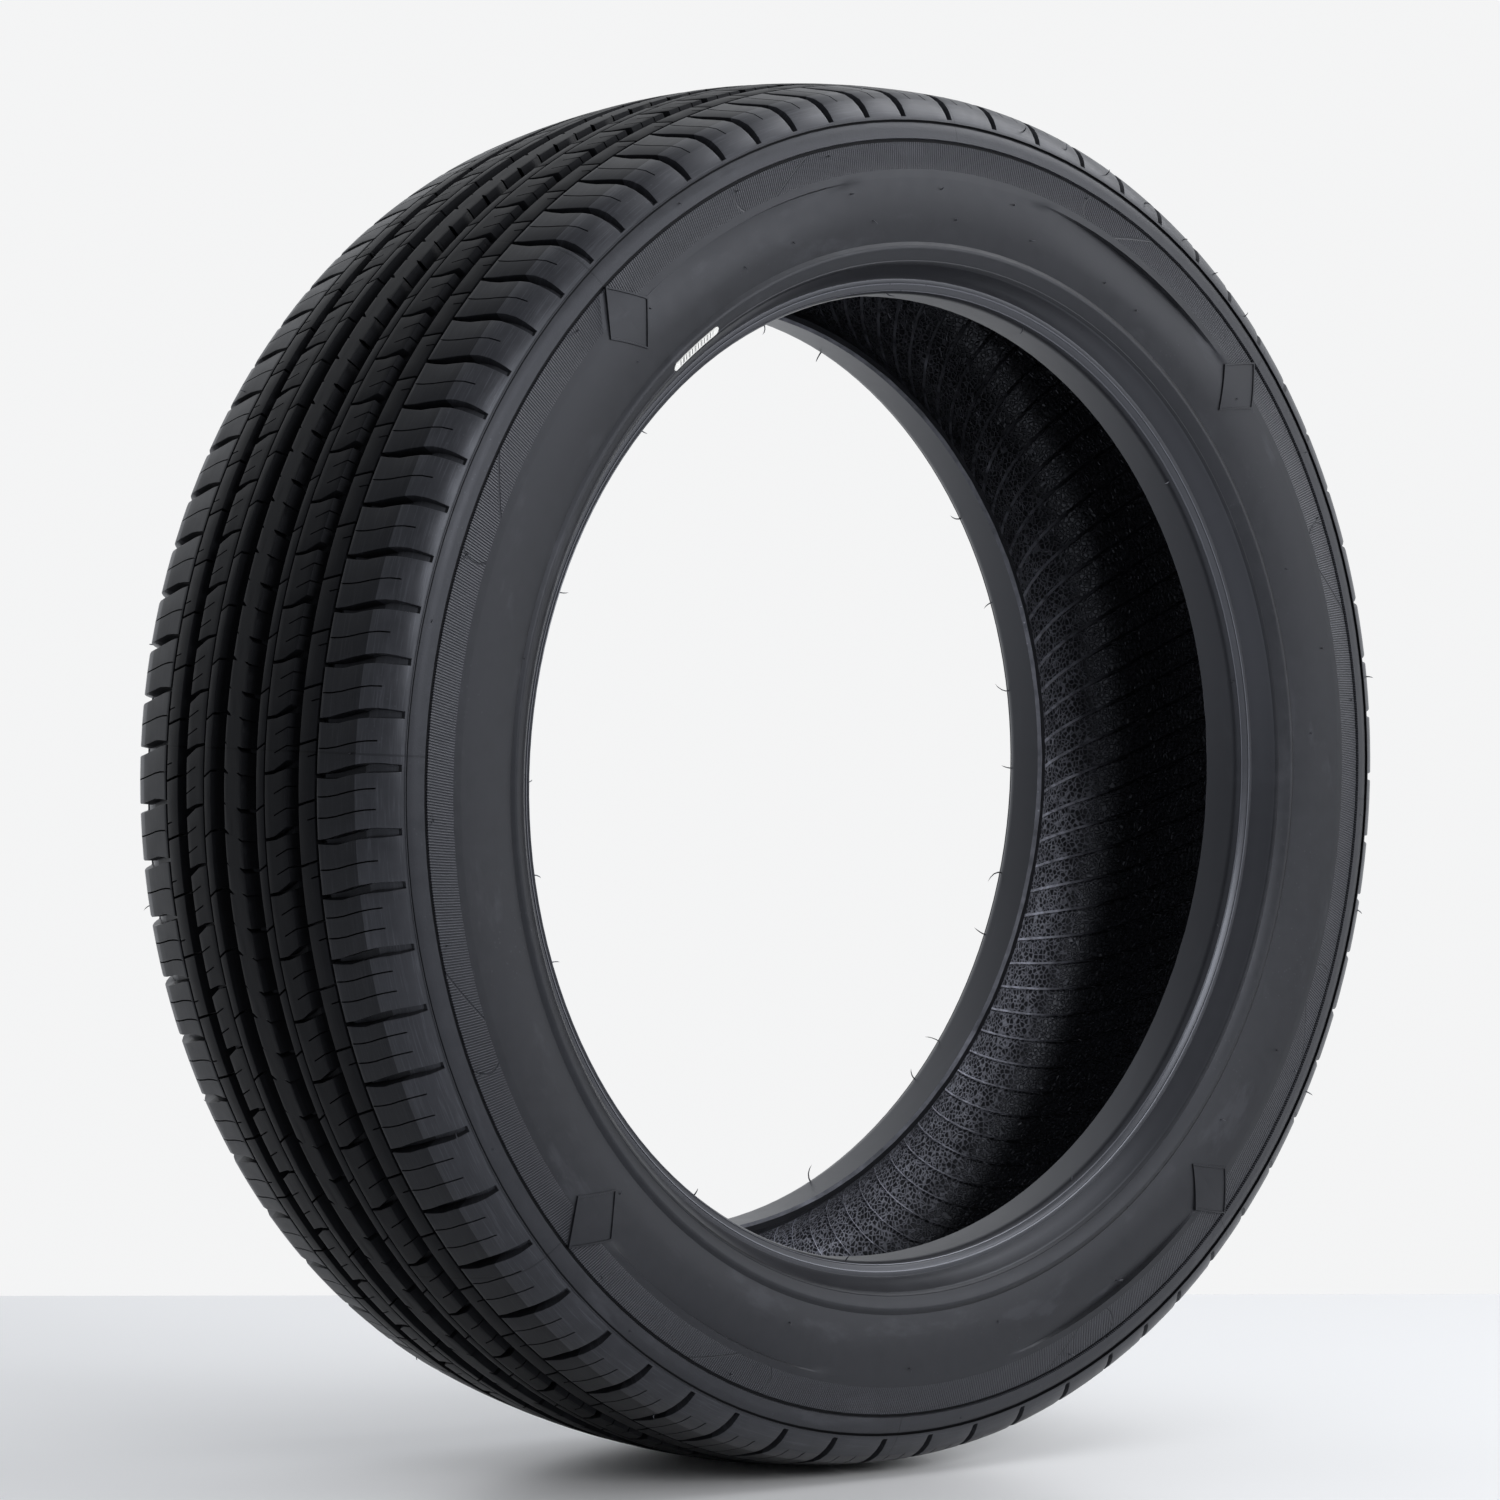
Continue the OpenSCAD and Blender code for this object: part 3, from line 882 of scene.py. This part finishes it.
def hair(side, at, angle, length):
    """One tapering tube with a closed root and a pointed tip."""
    turned = math.radians(angle)
    outward = Vector((math.cos(turned), 0, math.sin(turned)))
    round_way = Vector((-math.sin(turned), 0, math.cos(turned)))
    skin = skin_facing(at)
    away = Vector((0, -side * skin.x, 0)) + outward * skin.y
    slope = Vector((0, -side * skin.y, 0)) - outward * skin.x
    turn = chance.uniform(0, 2 * math.pi)
    lean = round_way * math.cos(turn) + slope * math.sin(turn)
    root = outward * at.y + Vector((0, -side * at.x, 0)) - away * HAIR_ROOT
    long = length * chance.uniform(*HAIR_LENGTHS)
    curl = chance.uniform(*HAIR_CURLS)
    aside = away.cross(lean)
    rings_of_hair = []
    for step in range(HAIR_STEPS):
        t = step / HAIR_STEPS
        centre = root + away * (long * (t - curl * 0.5 * t * t)) + lean * (long * curl * t * t)
        along = (away * (1 - curl * t) + lean * (2 * curl * t)).normalized()
        square = along.cross(aside)
        half = HAIR_THICK * (1 - HAIR_TAPER * t)
        loop = []
        for k in range(HAIR_SIDES):
            corner = 2 * math.pi * k / HAIR_SIDES
            spot = centre + (aside * math.cos(corner) + square * math.sin(corner)) * half
            points.append(tuple(spot * MM))
            loop.append(len(points) - 1)
        rings_of_hair.append(loop)
    tip = root + away * (long * (1 - curl * 0.5)) + lean * (long * curl)
    points.append(tuple(tip * MM))
    end = len(points) - 1
    made = [tuple(reversed(rings_of_hair[0]))]
    for a, b in zip(rings_of_hair, rings_of_hair[1:]):
        made += [(a[k], a[(k + 1) % HAIR_SIDES], b[(k + 1) % HAIR_SIDES], b[k])
                 for k in range(HAIR_SIDES)]
    made += [(a, b, end) for a, b in zip(loop, loop[1:] + loop[:1])]
    faces.extend(made)
    face_kinds.extend(["hair"] * len(made))


hairs = 0
for at, length, angles in HAIR_RINGS:
    for side in (1,) if at == HEEL_SPOT else (1, -1):
        for hair_angle in angles:
            hair(side, at, seen_from(side, hair_angle), length)
            hairs += 1
for hair_angle in FAR_HEEL_HAIRS:
    hair(-1, HEEL_SPOT, hair_angle, FAR_HEEL_LENGTH)
    hairs += 1
print("vent hairs:", hairs)

# %% [markdown]
# Everything so far is one list of faces, so the tyre is one object. Each kind of face gets
# its own finish further down.

# %% Make the tyre object
KINDS = ("tread", "block", "corner", "mould line shade", "shoulder band", "ribbed band", "sidewall",
         "bead", "bead line highlight", "seat", "toe", "inner wall", "liner", "ridge highlight", "hair")
SHARP_FROM = math.radians(38)
tyre_mesh = bpy.data.meshes.new("moulded_tyre")
tyre_mesh.from_pydata(points, [], faces)
tyre_mesh.polygons.foreach_set("material_index", [KINDS.index(kind) for kind in face_kinds])
tyre_mesh.polygons.foreach_set("use_smooth", [True] * len(faces))
tyre_mesh.set_sharp_from_angle(angle=SHARP_FROM)
tyre_mesh.update()
moulded_tyre = into_scene("moulded_tyre", tyre_mesh)
tyre_mesh.calc_loop_triangles()
print("triangles:", len(tyre_mesh.loop_triangles))

# %% [markdown]
# All the rubber comes from one recipe, so every zone uses the same few effects with its own
# values. Each effect is a node group that puts out a mask or a height, never a shader. The
# first one turns a point into its place on the tyre, so that ribs and marks can follow the
# circle without any image. The helpers below let a group be written as a formula.

# %% Formulas made of nodes
class Value:
    """A number that a node puts out. It can stand in a formula like a plain number."""

    def __init__(self, tree, socket):
        self.tree = tree
        self.socket = socket

    def __add__(self, other):
        return calc("ADD", self, other)

    def __sub__(self, other):
        return calc("SUBTRACT", self, other)

    def __rsub__(self, other):
        return calc("SUBTRACT", other, self)

    def __mul__(self, other):
        return calc("MULTIPLY", self, other)

    def __truediv__(self, other):
        return calc("DIVIDE", self, other)

    def __mod__(self, other):
        return calc("FLOORED_MODULO", self, other)

    def __abs__(self):
        return calc("ABSOLUTE", self)


def feed(socket, value):
    """Links what a node puts out, or sets a plain number."""
    if isinstance(value, Value):
        value.tree.links.new(value.socket, socket)
    else:
        socket.default_value = value


def calc(operation, *values, clamp=False):
    tree = next(value.tree for value in values if isinstance(value, Value))
    node = tree.nodes.new("ShaderNodeMath")
    node.operation = operation
    node.use_clamp = clamp
    for socket, value in zip(node.inputs, values):
        feed(socket, value)
    return Value(tree, node.outputs[0])


def step_mask(value, low, high):
    """0 below low, 1 above high, smooth between."""
    node = value.tree.nodes.new("ShaderNodeMapRange")
    node.interpolation_type = "SMOOTHSTEP"
    feed(node.inputs["Value"], value)
    node.inputs["From Min"].default_value = low
    node.inputs["From Max"].default_value = high
    return Value(value.tree, node.outputs["Result"])


def noise(point, scale, detail, roughness):
    node = point.tree.nodes.new("ShaderNodeTexNoise")
    feed(node.inputs["Vector"], point)
    feed(node.inputs["Scale"], scale)
    node.inputs["Detail"].default_value = detail
    node.inputs["Roughness"].default_value = roughness
    return Value(point.tree, node.outputs["Fac"])


def cell_distance(point, scale, feature="F1"):
    node = point.tree.nodes.new("ShaderNodeTexVoronoi")
    node.feature = feature
    feed(node.inputs["Vector"], point)
    feed(node.inputs["Scale"], scale)
    return Value(point.tree, node.outputs["Distance"])


def mixed_colour(tree, factor, first, second):
    blend = tree.nodes.new("ShaderNodeMix")
    blend.data_type = "RGBA"
    feed(blend.inputs["Factor"], factor)
    blend.inputs["A"].default_value = first
    blend.inputs["B"].default_value = second
    return Value(tree, blend.outputs["Result"])


# %% Making and using a node group
def new_group(name, inputs, outputs):
    """An empty group, the values given to it, and a function that puts out its results."""
    group = bpy.data.node_groups.new(name, "ShaderNodeTree")
    for label, default in inputs.items():
        socket = group.interface.new_socket(label, in_out="INPUT", socket_type="NodeSocketFloat")
        socket.default_value = default
    for label in outputs:
        kind = "NodeSocketVector" if label == "Point" else "NodeSocketFloat"
        group.interface.new_socket(label, in_out="OUTPUT", socket_type=kind)
    entry = group.nodes.new("NodeGroupInput")
    leave = group.nodes.new("NodeGroupOutput")
    given = {label: Value(group, entry.outputs[label]) for label in inputs}

    def put(label, value):
        feed(leave.inputs[label], value)

    return group, given, put


def use_group(tree, group, **values):
    """Places a group with these values and returns what it puts out, by name."""
    node = tree.nodes.new("ShaderNodeGroup")
    node.node_tree = group
    for label, value in values.items():
        feed(node.inputs[label], value)
    return {socket.name: Value(tree, socket) for socket in node.outputs}


# %% Group: where a point lies on the tyre
def make_place_group():
    outputs = ("Radius", "Across", "Angle", "Point")
    group, given, put = new_group("place on the tyre", {}, outputs)
    coordinates = group.nodes.new("ShaderNodeTexCoord")
    point = Value(group, coordinates.outputs["Object"])
    split = group.nodes.new("ShaderNodeSeparateXYZ")
    feed(split.inputs[0], point)
    x, y, z = [Value(group, socket) for socket in split.outputs]
    put("Radius", calc("SQRT", x * x + z * z) * (1.0 / MM))
    put("Across", y * (-1.0 / MM))
    put("Angle", calc("ARCTAN2", z, x))
    put("Point", point)
    return group


place_group = make_place_group()

# %% [markdown]
# Moulded rubber is never evenly black. It has a fine mottle from the release agent, long pale
# smears from handling, streaks where the tread was brushed, which are painted pale partly as
# sheen, and specks of dust that gather in patches. The amounts are small: on a new tyre they
# only break up the highlight.

# %% Groups: mottle, smears, grain, brush marks with painted sheen, and specks
def make_mottle_group():
    group, given, put = new_group("rubber mottle", {"Scale": 90.0, "Amount": 0.2}, ["Mask"])
    point = use_group(group, place_group)["Point"]
    fine = noise(point, given["Scale"], 4.0, 0.6)
    broad = noise(point, 7.0, 3.0, 0.55)
    put("Mask", (fine * 0.6 + broad * 0.4 - 0.5) * given["Amount"])
    return group


def wound_point(group, round_scale, skin_scale):
    """A point that goes round the tyre on one circle and along its skin on the third axis."""
    here = use_group(group, place_group)
    wound = group.nodes.new("ShaderNodeCombineXYZ")
    feed(wound.inputs[0], calc("COSINE", here["Angle"]) * round_scale)
    feed(wound.inputs[1], calc("SINE", here["Angle"]) * round_scale)
    feed(wound.inputs[2], (abs(here["Across"]) - here["Radius"]) * skin_scale)
    return Value(group, wound.outputs[0])


def make_smear_group():
    group, given, put = new_group("handling smears", {"Amount": 0.3}, ["Mask"])
    streaks = noise(wound_point(group, 2.6, 0.03), 2.2, 5.0, 0.62)
    put("Mask", step_mask(streaks, 0.56, 0.74) * given["Amount"])
    return group


def make_grain_group():
    group, given, put = new_group("fine grain", {"Scale": 900.0, "Height": 0.02}, ["Height"])
    point = use_group(group, place_group)["Point"]
    put("Height", noise(point, given["Scale"], 3.0, 0.6) * given["Height"])
    return group


def make_brush_sheen_group():
    """Short pale streaks round the tyre: brush marks of release agent, painted pale partly as the
    streaky sheen on the blocks.
    """
    group, given, put = new_group("brush marks and painted sheen", {"Amount": 0.3}, ["Mask"])
    streaks = noise(wound_point(group, 16.0, 1.1), 1.0, 3.0, 0.6)
    put("Mask", step_mask(streaks, 0.5, 0.72) * given["Amount"])
    return group


def make_speck_group():
    """Tiny pale specks of dust, gathered in patches."""
    group, given, put = new_group("dust specks", {"Amount": 0.5}, ["Mask"])
    point = use_group(group, place_group)["Point"]
    dots = 1.0 - step_mask(cell_distance(point, 330.0), 0.1, 0.2)
    patches = step_mask(noise(point, 16.0, 3.0, 0.6), 0.5, 0.68)
    put("Mask", dots * patches * given["Amount"])
    return group


mottle_group = make_mottle_group()
smear_group = make_smear_group()
grain_group = make_grain_group()
brush_sheen_group = make_brush_sheen_group()
speck_group = make_speck_group()

# %% [markdown]
# The ribbed band is engraved in the mould as hundreds of fine radial ribs about a millimetre
# apart. At that scale they are a height from a sine of the angle, and the crest of each rib is
# also painted pale, a painted sheen for the soft silver of the real band. In tapered panels,
# edged by a line, the ribs are deeper and their painted sheen stronger.

# %% Group: fine ribs, with painted sheen on their crests
PANEL_TURN = 45.0
PANEL_START = 196.5
PANEL_TAPER = 7.6
PANEL_DROP = 19.0
PANEL_LONG = 10.0
PANEL_ROUND = 1.3
PANEL_MIDDLE = 290.0
PANEL_HALF = 9.0
MM_PER_DEGREE = 5.0
RIB_FADE = (279.0, 292.0)


def panel_masks(angle, radius):
    """Tapered panels on the band: inside one, and on the line that edges it."""
    part = (angle - math.radians(PANEL_START)) * (180.0 / math.pi) % PANEL_TURN
    share = calc("MINIMUM", part / PANEL_TAPER, 1.0)
    above = radius - (BAND[0] - share * PANEL_DROP)
    middle = (radius - PANEL_MIDDLE) / PANEL_HALF
    left = (PANEL_LONG - middle * middle * PANEL_ROUND - part) * MM_PER_DEGREE
    depth = calc("MINIMUM", above, left)
    inside = step_mask(depth, -0.1, 0.3)
    line = 1.0 - step_mask(abs(depth), 0.2, 0.7)
    return inside, line


def outside_frames(angle, radius):
    """0 inside the empty diamonds, where the band has no ribs."""
    part = (angle - math.radians(FRAME_ANGLES[0] - 45.0)) % (math.pi / 2)
    aside = abs(part - math.pi / 4) * (FRAME_RADIUS / FRAME_WIDE)
    up = abs(radius - FRAME_RADIUS) / FRAME_TALL
    return step_mask(aside + up, 1.0, 1.08)


def make_rib_group():
    inputs = {"Count": 1500.0, "Height": 0.2, "Slant": 0.0}
    group, given, put = new_group("fine ribs with painted sheen", inputs, ["Height", "Mask"])
    here = use_group(group, place_group)
    angle, radius = here["Angle"], here["Radius"]
    inside, line = panel_masks(angle, radius)
    wave = calc("SINE", (angle + radius * given["Slant"]) * given["Count"])
    strength = step_mask(radius, *RIB_FADE) * 0.55 + 0.2
    strength = calc("ADD", strength, inside * 0.3, clamp=True)
    strength = strength * outside_frames(angle, radius) * (1.0 - line)
    put("Height", wave * strength * given["Height"] + line * -0.5)
    # Painted sheen: the crest of each rib is painted pale.
    put("Mask", step_mask(wave, 0.1, 0.9) * strength)
    return group


# %% [markdown]
# The liner's pebbles are a cell pattern: a fine net that stands up round dark cells. The net is
# painted pale as a painted highlight, only on the flanks where the lamps reach in through the
# hub opening, and most of all low down. Over the crown and towards the top it stays black,
# which is painted shade over the liner's own black.

# %% Group: liner pebbles, with painted light on the flanks
LIT_FLANK_FADE = (268.0, 306.0)
UPPER_SHADE_FADE = (-0.06, 0.2)
UPPER_SHADE_LOSS = 0.85


def make_pebble_group():
    inputs = {"Scale": 380.0, "Height": 0.35}
    group, given, put = new_group("liner pebbles and painted light", inputs, ["Height", "Joint", "Flank"])
    here = use_group(group, place_group)
    edge_distance = cell_distance(here["Point"], given["Scale"], "DISTANCE_TO_EDGE")
    joint = 1.0 - step_mask(edge_distance, 0.02, 0.22)
    put("Height", joint * given["Height"])
    put("Joint", joint)
    split = group.nodes.new("ShaderNodeSeparateXYZ")
    feed(split.inputs[0], here["Point"])
    # Painted light: the pale net shows on the lit flanks and fades out towards the crown and
    # towards the top as painted shade.
    crown = step_mask(here["Radius"], *LIT_FLANK_FADE)
    upper = step_mask(Value(group, split.outputs["Z"]), *UPPER_SHADE_FADE) * UPPER_SHADE_LOSS
    put("Flank", (1.0 - crown) * (1.0 - upper))
    return group


# %% [markdown]
# The mould's tread ring comes in eight segments. Where two of them meet, a hair-thin line
# runs across the tread and the smooth band below it. It is a shallow bumped groove, and its
# colour is painted dark as the shade in it.

# %% Group: line between two mould segments, with painted shade
SEAM_ANGLE = 178.5
SEAM_TURN = 45.0


def make_seam_group():
    group, given, put = new_group("mould segment line with painted shade", {"Width": 0.4}, ["Mask"])
    turned = use_group(group, place_group)["Angle"] - math.radians(SEAM_ANGLE - SEAM_TURN / 2)
    part = turned % math.radians(SEAM_TURN)
    aside = abs(part - math.radians(SEAM_TURN / 2)) * CROWN
    put("Mask", calc("LESS_THAN", aside, given["Width"]))
    return group


seam_group = make_seam_group()
rib_group = make_rib_group()
pebble_group = make_pebble_group()
print("shader groups:", [g.name for g in bpy.data.node_groups])

# %% [markdown]
# The rubber itself: a near-black, slightly blue compound with a satin skin. Every zone mixes
# a dark and a pale grey by how much the effects add up to. Tread, sidewall, bead and liner
# differ in how smooth the mould was there and in which effects they have.

# %% Rubber recipe
RUBBER_TINT = Vector((0.92, 0.95, 1.12))
GLOSS_TINT = (0.84, 0.88, 1.0, 1.0)
EVEN_AMOUNT = 0.3
NET_GAIN = 2.2
SEAM_DEPTH = -0.9


def rubber_colour(level):
    return (*(RUBBER_TINT * level), 1.0)


def rubber(name, level, pale, roughness, shine, mottle=0.5, smear=0.35, grain=0.02,
           ribs=None, pebbles=None, seam=0.0, brushed=0.0, specks=0.0):
    """One finish. Level and pale are the darkest and the palest grey, shine is the gloss."""
    material, tree, shader = new_material(name)
    shader.inputs["IOR"].default_value = 1.5
    shader.inputs["Specular IOR Level"].default_value = shine
    shader.inputs["Specular Tint"].default_value = GLOSS_TINT
    uneven = use_group(tree, mottle_group, Scale=140.0, Amount=mottle)["Mask"]
    amount = uneven + use_group(tree, smear_group, Amount=smear)["Mask"] + EVEN_AMOUNT
    if brushed:
        # Brush marks, painted pale partly as sheen.
        amount = amount + use_group(tree, brush_sheen_group, Amount=brushed)["Mask"]
    if specks:
        amount = amount + use_group(tree, speck_group, Amount=specks)["Mask"]
    amount = calc("MAXIMUM", amount, 0.0)
    height = use_group(tree, grain_group, Scale=1100.0, Height=grain)["Height"]
    if ribs:
        count, rib_height, slant = ribs
        band = use_group(tree, rib_group, Count=count, Height=rib_height, Slant=slant)
        height = height + band["Height"]
        # Painted sheen: the rib crests are mixed in pale.
        amount = calc("ADD", amount * 0.5, band["Mask"] * 0.8, clamp=True)
    if pebbles:
        scale, net_height, net = pebbles
        liner = use_group(tree, pebble_group, Scale=scale, Height=net_height)
        height = height + liner["Height"]
        # Painted light: the pale mix stays only on the lit flanks of the liner.
        amount = amount * (liner["Joint"] * net + (1.0 - net)) * liner["Flank"]
        amount = calc("MULTIPLY", amount, NET_GAIN, clamp=True)
    if seam:
        line = use_group(tree, seam_group, Width=seam)["Mask"]
        height = height + line * SEAM_DEPTH
        # Painted shade: the segment line is painted dark.
        amount = amount * (1.0 - line)
    colour = mixed_colour(tree, amount, rubber_colour(level), rubber_colour(pale))
    feed(shader.inputs["Base Color"], colour)
    feed(shader.inputs["Roughness"], uneven * 0.35 + roughness)
    bump = tree.nodes.new("ShaderNodeBump")
    bump.inputs["Distance"].default_value = MM
    feed(bump.inputs["Height"], height)
    feed(shader.inputs["Normal"], Value(tree, bump.outputs["Normal"]))
    return material


# %% Rubber finishes by zone
finishes = {
    "tread": rubber("tread rubber", 0.002, 0.01, 0.45, 0.1, mottle=0.5, smear=0.2, seam=0.5,
                    brushed=0.3),
    "block": rubber("shoulder block rubber", 0.003, 0.014, 0.4, 0.23, mottle=0.6, smear=0.4,
                    seam=0.5, brushed=0.7),
    "corner": rubber("block corner rubber", 0.008, 0.036, 0.38, 0.45, mottle=0.8, smear=0.4,
                     seam=0.5, brushed=0.7, specks=0.5),
    # Painted shade in the floors of the mould lines.
    "mould line shade": rubber("mould line painted shade rubber", 0.001, 0.004, 0.5, 0.1),
    "shoulder band": rubber("shoulder band rubber", 0.008, 0.035, 0.42, 0.4, mottle=0.9,
                            smear=0.5, grain=0.06, seam=0.5, specks=0.6),
    "ribbed band": rubber("ribbed band rubber", 0.002, 0.075, 0.4, 0.38, mottle=0.5, smear=0.3,
                          ribs=(1500.0, 0.36, 0.0006)),
    "sidewall": rubber("sidewall rubber", 0.004, 0.02, 0.43, 0.36, mottle=1.0, smear=0.9,
                       specks=0.9),
    "bead": rubber("bead rubber", 0.009, 0.03, 0.3, 0.65, mottle=0.4, smear=0.3, grain=0.008),
    # Painted highlight on the tops of the heel lines.
    "bead line highlight": rubber("painted highlight bead line rubber", 0.05, 0.12, 0.3, 0.9, mottle=0.6, smear=0.3),
    "seat": rubber("bead seat rubber", 0.009, 0.03, 0.34, 0.55, mottle=0.4, smear=0.3),
    "toe": rubber("flashed toe rubber", 0.01, 0.3, 0.4, 0.4, mottle=1.2, smear=0.3, specks=1.0),
    "inner wall": rubber("inner wall rubber", 0.012, 0.035, 0.42, 0.5, mottle=0.4, smear=0.25),
    # Liner: its pale net is painted light on the lit flanks.
    "liner": rubber("pebbled liner rubber", 0.004, 0.6, 0.34, 0.4, mottle=0.8, smear=0.2,
                    pebbles=(400.0, 0.5, 0.9)),
    # Painted highlight on the upper face of each liner ridge.
    "ridge highlight": rubber("painted ridge highlight rubber", 0.004, 0.9, 0.3, 0.6, mottle=1.4, smear=0.4,
                          pebbles=(400.0, 0.0, 0.0)),
    "hair": rubber("vent hair rubber", 0.02, 0.06, 0.35, 0.6, mottle=0.3, smear=0.2),
}
for kind in KINDS:
    tyre_mesh.materials.append(finishes[kind])
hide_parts("tyre")
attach(moulded_tyre, "root")
print("finishes:", [m.name for m in tyre_mesh.materials])

# %% [markdown]
# The bar label is a separate strip of film. Its solid is right as it is, so it stays and
# gets a printed look: plain upright bars of a few widths, dark on white, with no number.

# %% Bar label print
LABEL_ANGLE = 127.8
LABEL_RADIUS = 244.0
PRINT_HALF_LENGTH = 12.5
PRINT_HALF_HEIGHT = 1.45
FILM_WHITE = (0.8, 0.8, 0.78, 1.0)
PRINT_BLACK = (0.03, 0.03, 0.035, 1.0)


def label_film():
    material, tree, shader = new_material("label film")
    shader.inputs["Roughness"].default_value = 0.45
    here = use_group(tree, place_group)
    along = (here["Angle"] - math.radians(LABEL_ANGLE)) * LABEL_RADIUS
    waves = calc("SINE", along * 2.9) + calc("SINE", along * 7.3) * 0.7
    bars = step_mask(waves, 0.45, 0.55)
    inside = calc("LESS_THAN", abs(along), PRINT_HALF_LENGTH)
    middle = calc("LESS_THAN", abs(here["Radius"] - LABEL_RADIUS), PRINT_HALF_HEIGHT)
    colour = mixed_colour(tree, bars * inside * middle, FILM_WHITE, PRINT_BLACK)
    feed(shader.inputs["Base Color"], colour)
    return material


bar_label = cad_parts["bar_label"]
bar_label.data.materials.clear()
bar_label.data.materials.append(label_film())

# %% [markdown]
# The studio is a white table in front of a white wall. The table's bounce lights the tyre
# from below. It ends a little way behind the tyre, with its edge not quite square on.

# %% Floor
FLOOR_EDGE = ((-0.546, -0.458), (-0.75, 0.452))
FLOOR_REACH = 6.0
VIEW_YAW = -0.7313
view_back = Vector((math.sin(VIEW_YAW), -math.cos(VIEW_YAW), 0))
view_right = Vector((math.cos(VIEW_YAW), math.sin(VIEW_YAW), 0))
floor_z = tyre_low.z


def floor_corner(back, right):
    spot = view_back * back + view_right * right
    return (spot.x, spot.y, floor_z)


def floor_behind(right):
    """How far back the table's edge is at a distance to the right."""
    (back_a, right_a), (back_b, right_b) = FLOOR_EDGE
    return back_a + (back_b - back_a) * (right - right_a) / (right_b - right_a)


EDGE_REACH = 2.2
floor_mesh = bpy.data.meshes.new("table_top")
floor_mesh.from_pydata(
    [floor_corner(floor_behind(-EDGE_REACH), -EDGE_REACH),
     floor_corner(floor_behind(EDGE_REACH), EDGE_REACH),
     floor_corner(FLOOR_REACH, FLOOR_REACH), floor_corner(FLOOR_REACH, -FLOOR_REACH)],
    [], [(0, 3, 2, 1)])
table_top = into_scene("table_top", floor_mesh)

floor_paint, _, floor_shader = new_material("white table")
floor_shader.inputs["Base Color"].default_value = (0.78, 0.785, 0.8, 1.0)
floor_shader.inputs["Roughness"].default_value = 0.28
floor_mesh.materials.append(floor_paint)

# %% [markdown]
# The room is white behind the table and dim behind the camera. The seats of the beads and the
# tread mirror the white wall, while the sidewall mirrors only the soft boxes.

# %% White wall behind, dim room in front
world = bpy.data.worlds.new("white studio")
bpy.context.scene.world = world
world.use_nodes = True
sky = world.node_tree
background = sky.nodes["Background"]
background.inputs["Color"].default_value = (0.95, 0.97, 1.0, 1.0)
direction = sky.nodes.new("ShaderNodeTexCoord")
towards_wall = sky.nodes.new("ShaderNodeVectorMath")
towards_wall.operation = "DOT_PRODUCT"
sky.links.new(direction.outputs["Generated"], towards_wall.inputs[0])
towards_wall.inputs[1].default_value = -view_back
brightness = sky.nodes.new("ShaderNodeMapRange")
brightness.interpolation_type = "SMOOTHSTEP"
sky.links.new(towards_wall.outputs["Value"], brightness.inputs["Value"])
brightness.inputs["From Min"].default_value = -0.05
brightness.inputs["From Max"].default_value = 0.6
brightness.inputs["To Min"].default_value = 0.42
brightness.inputs["To Max"].default_value = 0.94
sky.links.new(brightness.outputs["Result"], background.inputs["Strength"])
seen = sky.nodes.new("ShaderNodeBackground")
seen.inputs["Color"].default_value = (0.905, 0.908, 0.912, 1.0)
path = sky.nodes.new("ShaderNodeLightPath")
chosen = sky.nodes.new("ShaderNodeMixShader")
sky.links.new(path.outputs["Is Camera Ray"], chosen.inputs["Fac"])
sky.links.new(background.outputs[0], chosen.inputs[1])
sky.links.new(seen.outputs[0], chosen.inputs[2])
sky.links.new(chosen.outputs[0], sky.nodes["World Output"].inputs["Surface"])


# %% [markdown]
# Black rubber shows mostly what it mirrors, so the soft boxes are large and close. Most of
# them stand on the right, and the one in front lights the sidewall.

# %% Soft boxes
def soft_box(name, back, right, height, size, power):
    lamp = bpy.data.lights.new(name, "AREA")
    lamp.shape = "RECTANGLE"
    lamp.size, lamp.size_y = size
    lamp.energy = power
    holder = into_scene(name, lamp)
    spot = view_back * back + view_right * right
    holder.location = (spot.x, spot.y, floor_z + height)
    aim = Vector((0, 0, 0)) - holder.location
    holder.rotation_euler = aim.to_track_quat("-Z", "Y").to_euler()


soft_box("key box in front", 2.0, 1.25, 1.18, (1.15, 0.9), 24.0)
soft_box("box on the right", 0.6, 2.5, 1.2, (1.0, 1.4), 19.0)
soft_box("box behind on the right", -0.2, 2.6, 1.1, (1.0, 1.4), 6.0)
soft_box("box above and behind", -0.6, 1.4, 2.0, (1.2, 1.2), 16.0)
soft_box("box overhead", 0.2, 0.8, 1.9, (1.0, 1.0), 4.0)

# %% [markdown]
# The camera stands two and a half metres away, just above the axle's height, with a long
# lens, as the photograph's flat perspective shows. It looks almost level and is tilted a
# touch clockwise.

# %% Camera
CAMERA_DISTANCE = 2.5025
CAMERA_RISE = 0.016544
LENS = 124.51
LOOK_RIGHT = -0.01971
LOOK_UP = 0.01083
ROLL = 0.02398

camera_data = bpy.data.cameras.new("studio camera")
camera = into_scene("studio camera", camera_data)
bpy.context.scene.camera = camera
camera_data.sensor_width = 36.0
camera_data.lens = LENS
camera_data.clip_start, camera_data.clip_end = 0.1, 50.0
towards_camera = view_back * math.cos(CAMERA_RISE) + Vector((0, 0, math.sin(CAMERA_RISE)))
stand = towards_camera * CAMERA_DISTANCE
look = view_right * LOOK_RIGHT + Vector((0, 0, LOOK_UP))
forward = (look - stand).normalized()
right = forward.cross(Vector((0, 0, 1))).normalized()
up = right.cross(forward)
rolled_right = right * math.cos(ROLL) + up * math.sin(ROLL)
rolled_up = up * math.cos(ROLL) - right * math.sin(ROLL)
turn = Matrix((rolled_right, rolled_up, -forward)).transposed()
camera.matrix_world = Matrix.Translation(stand) @ turn.to_4x4()

bpy.context.scene.view_settings.view_transform = "Standard"
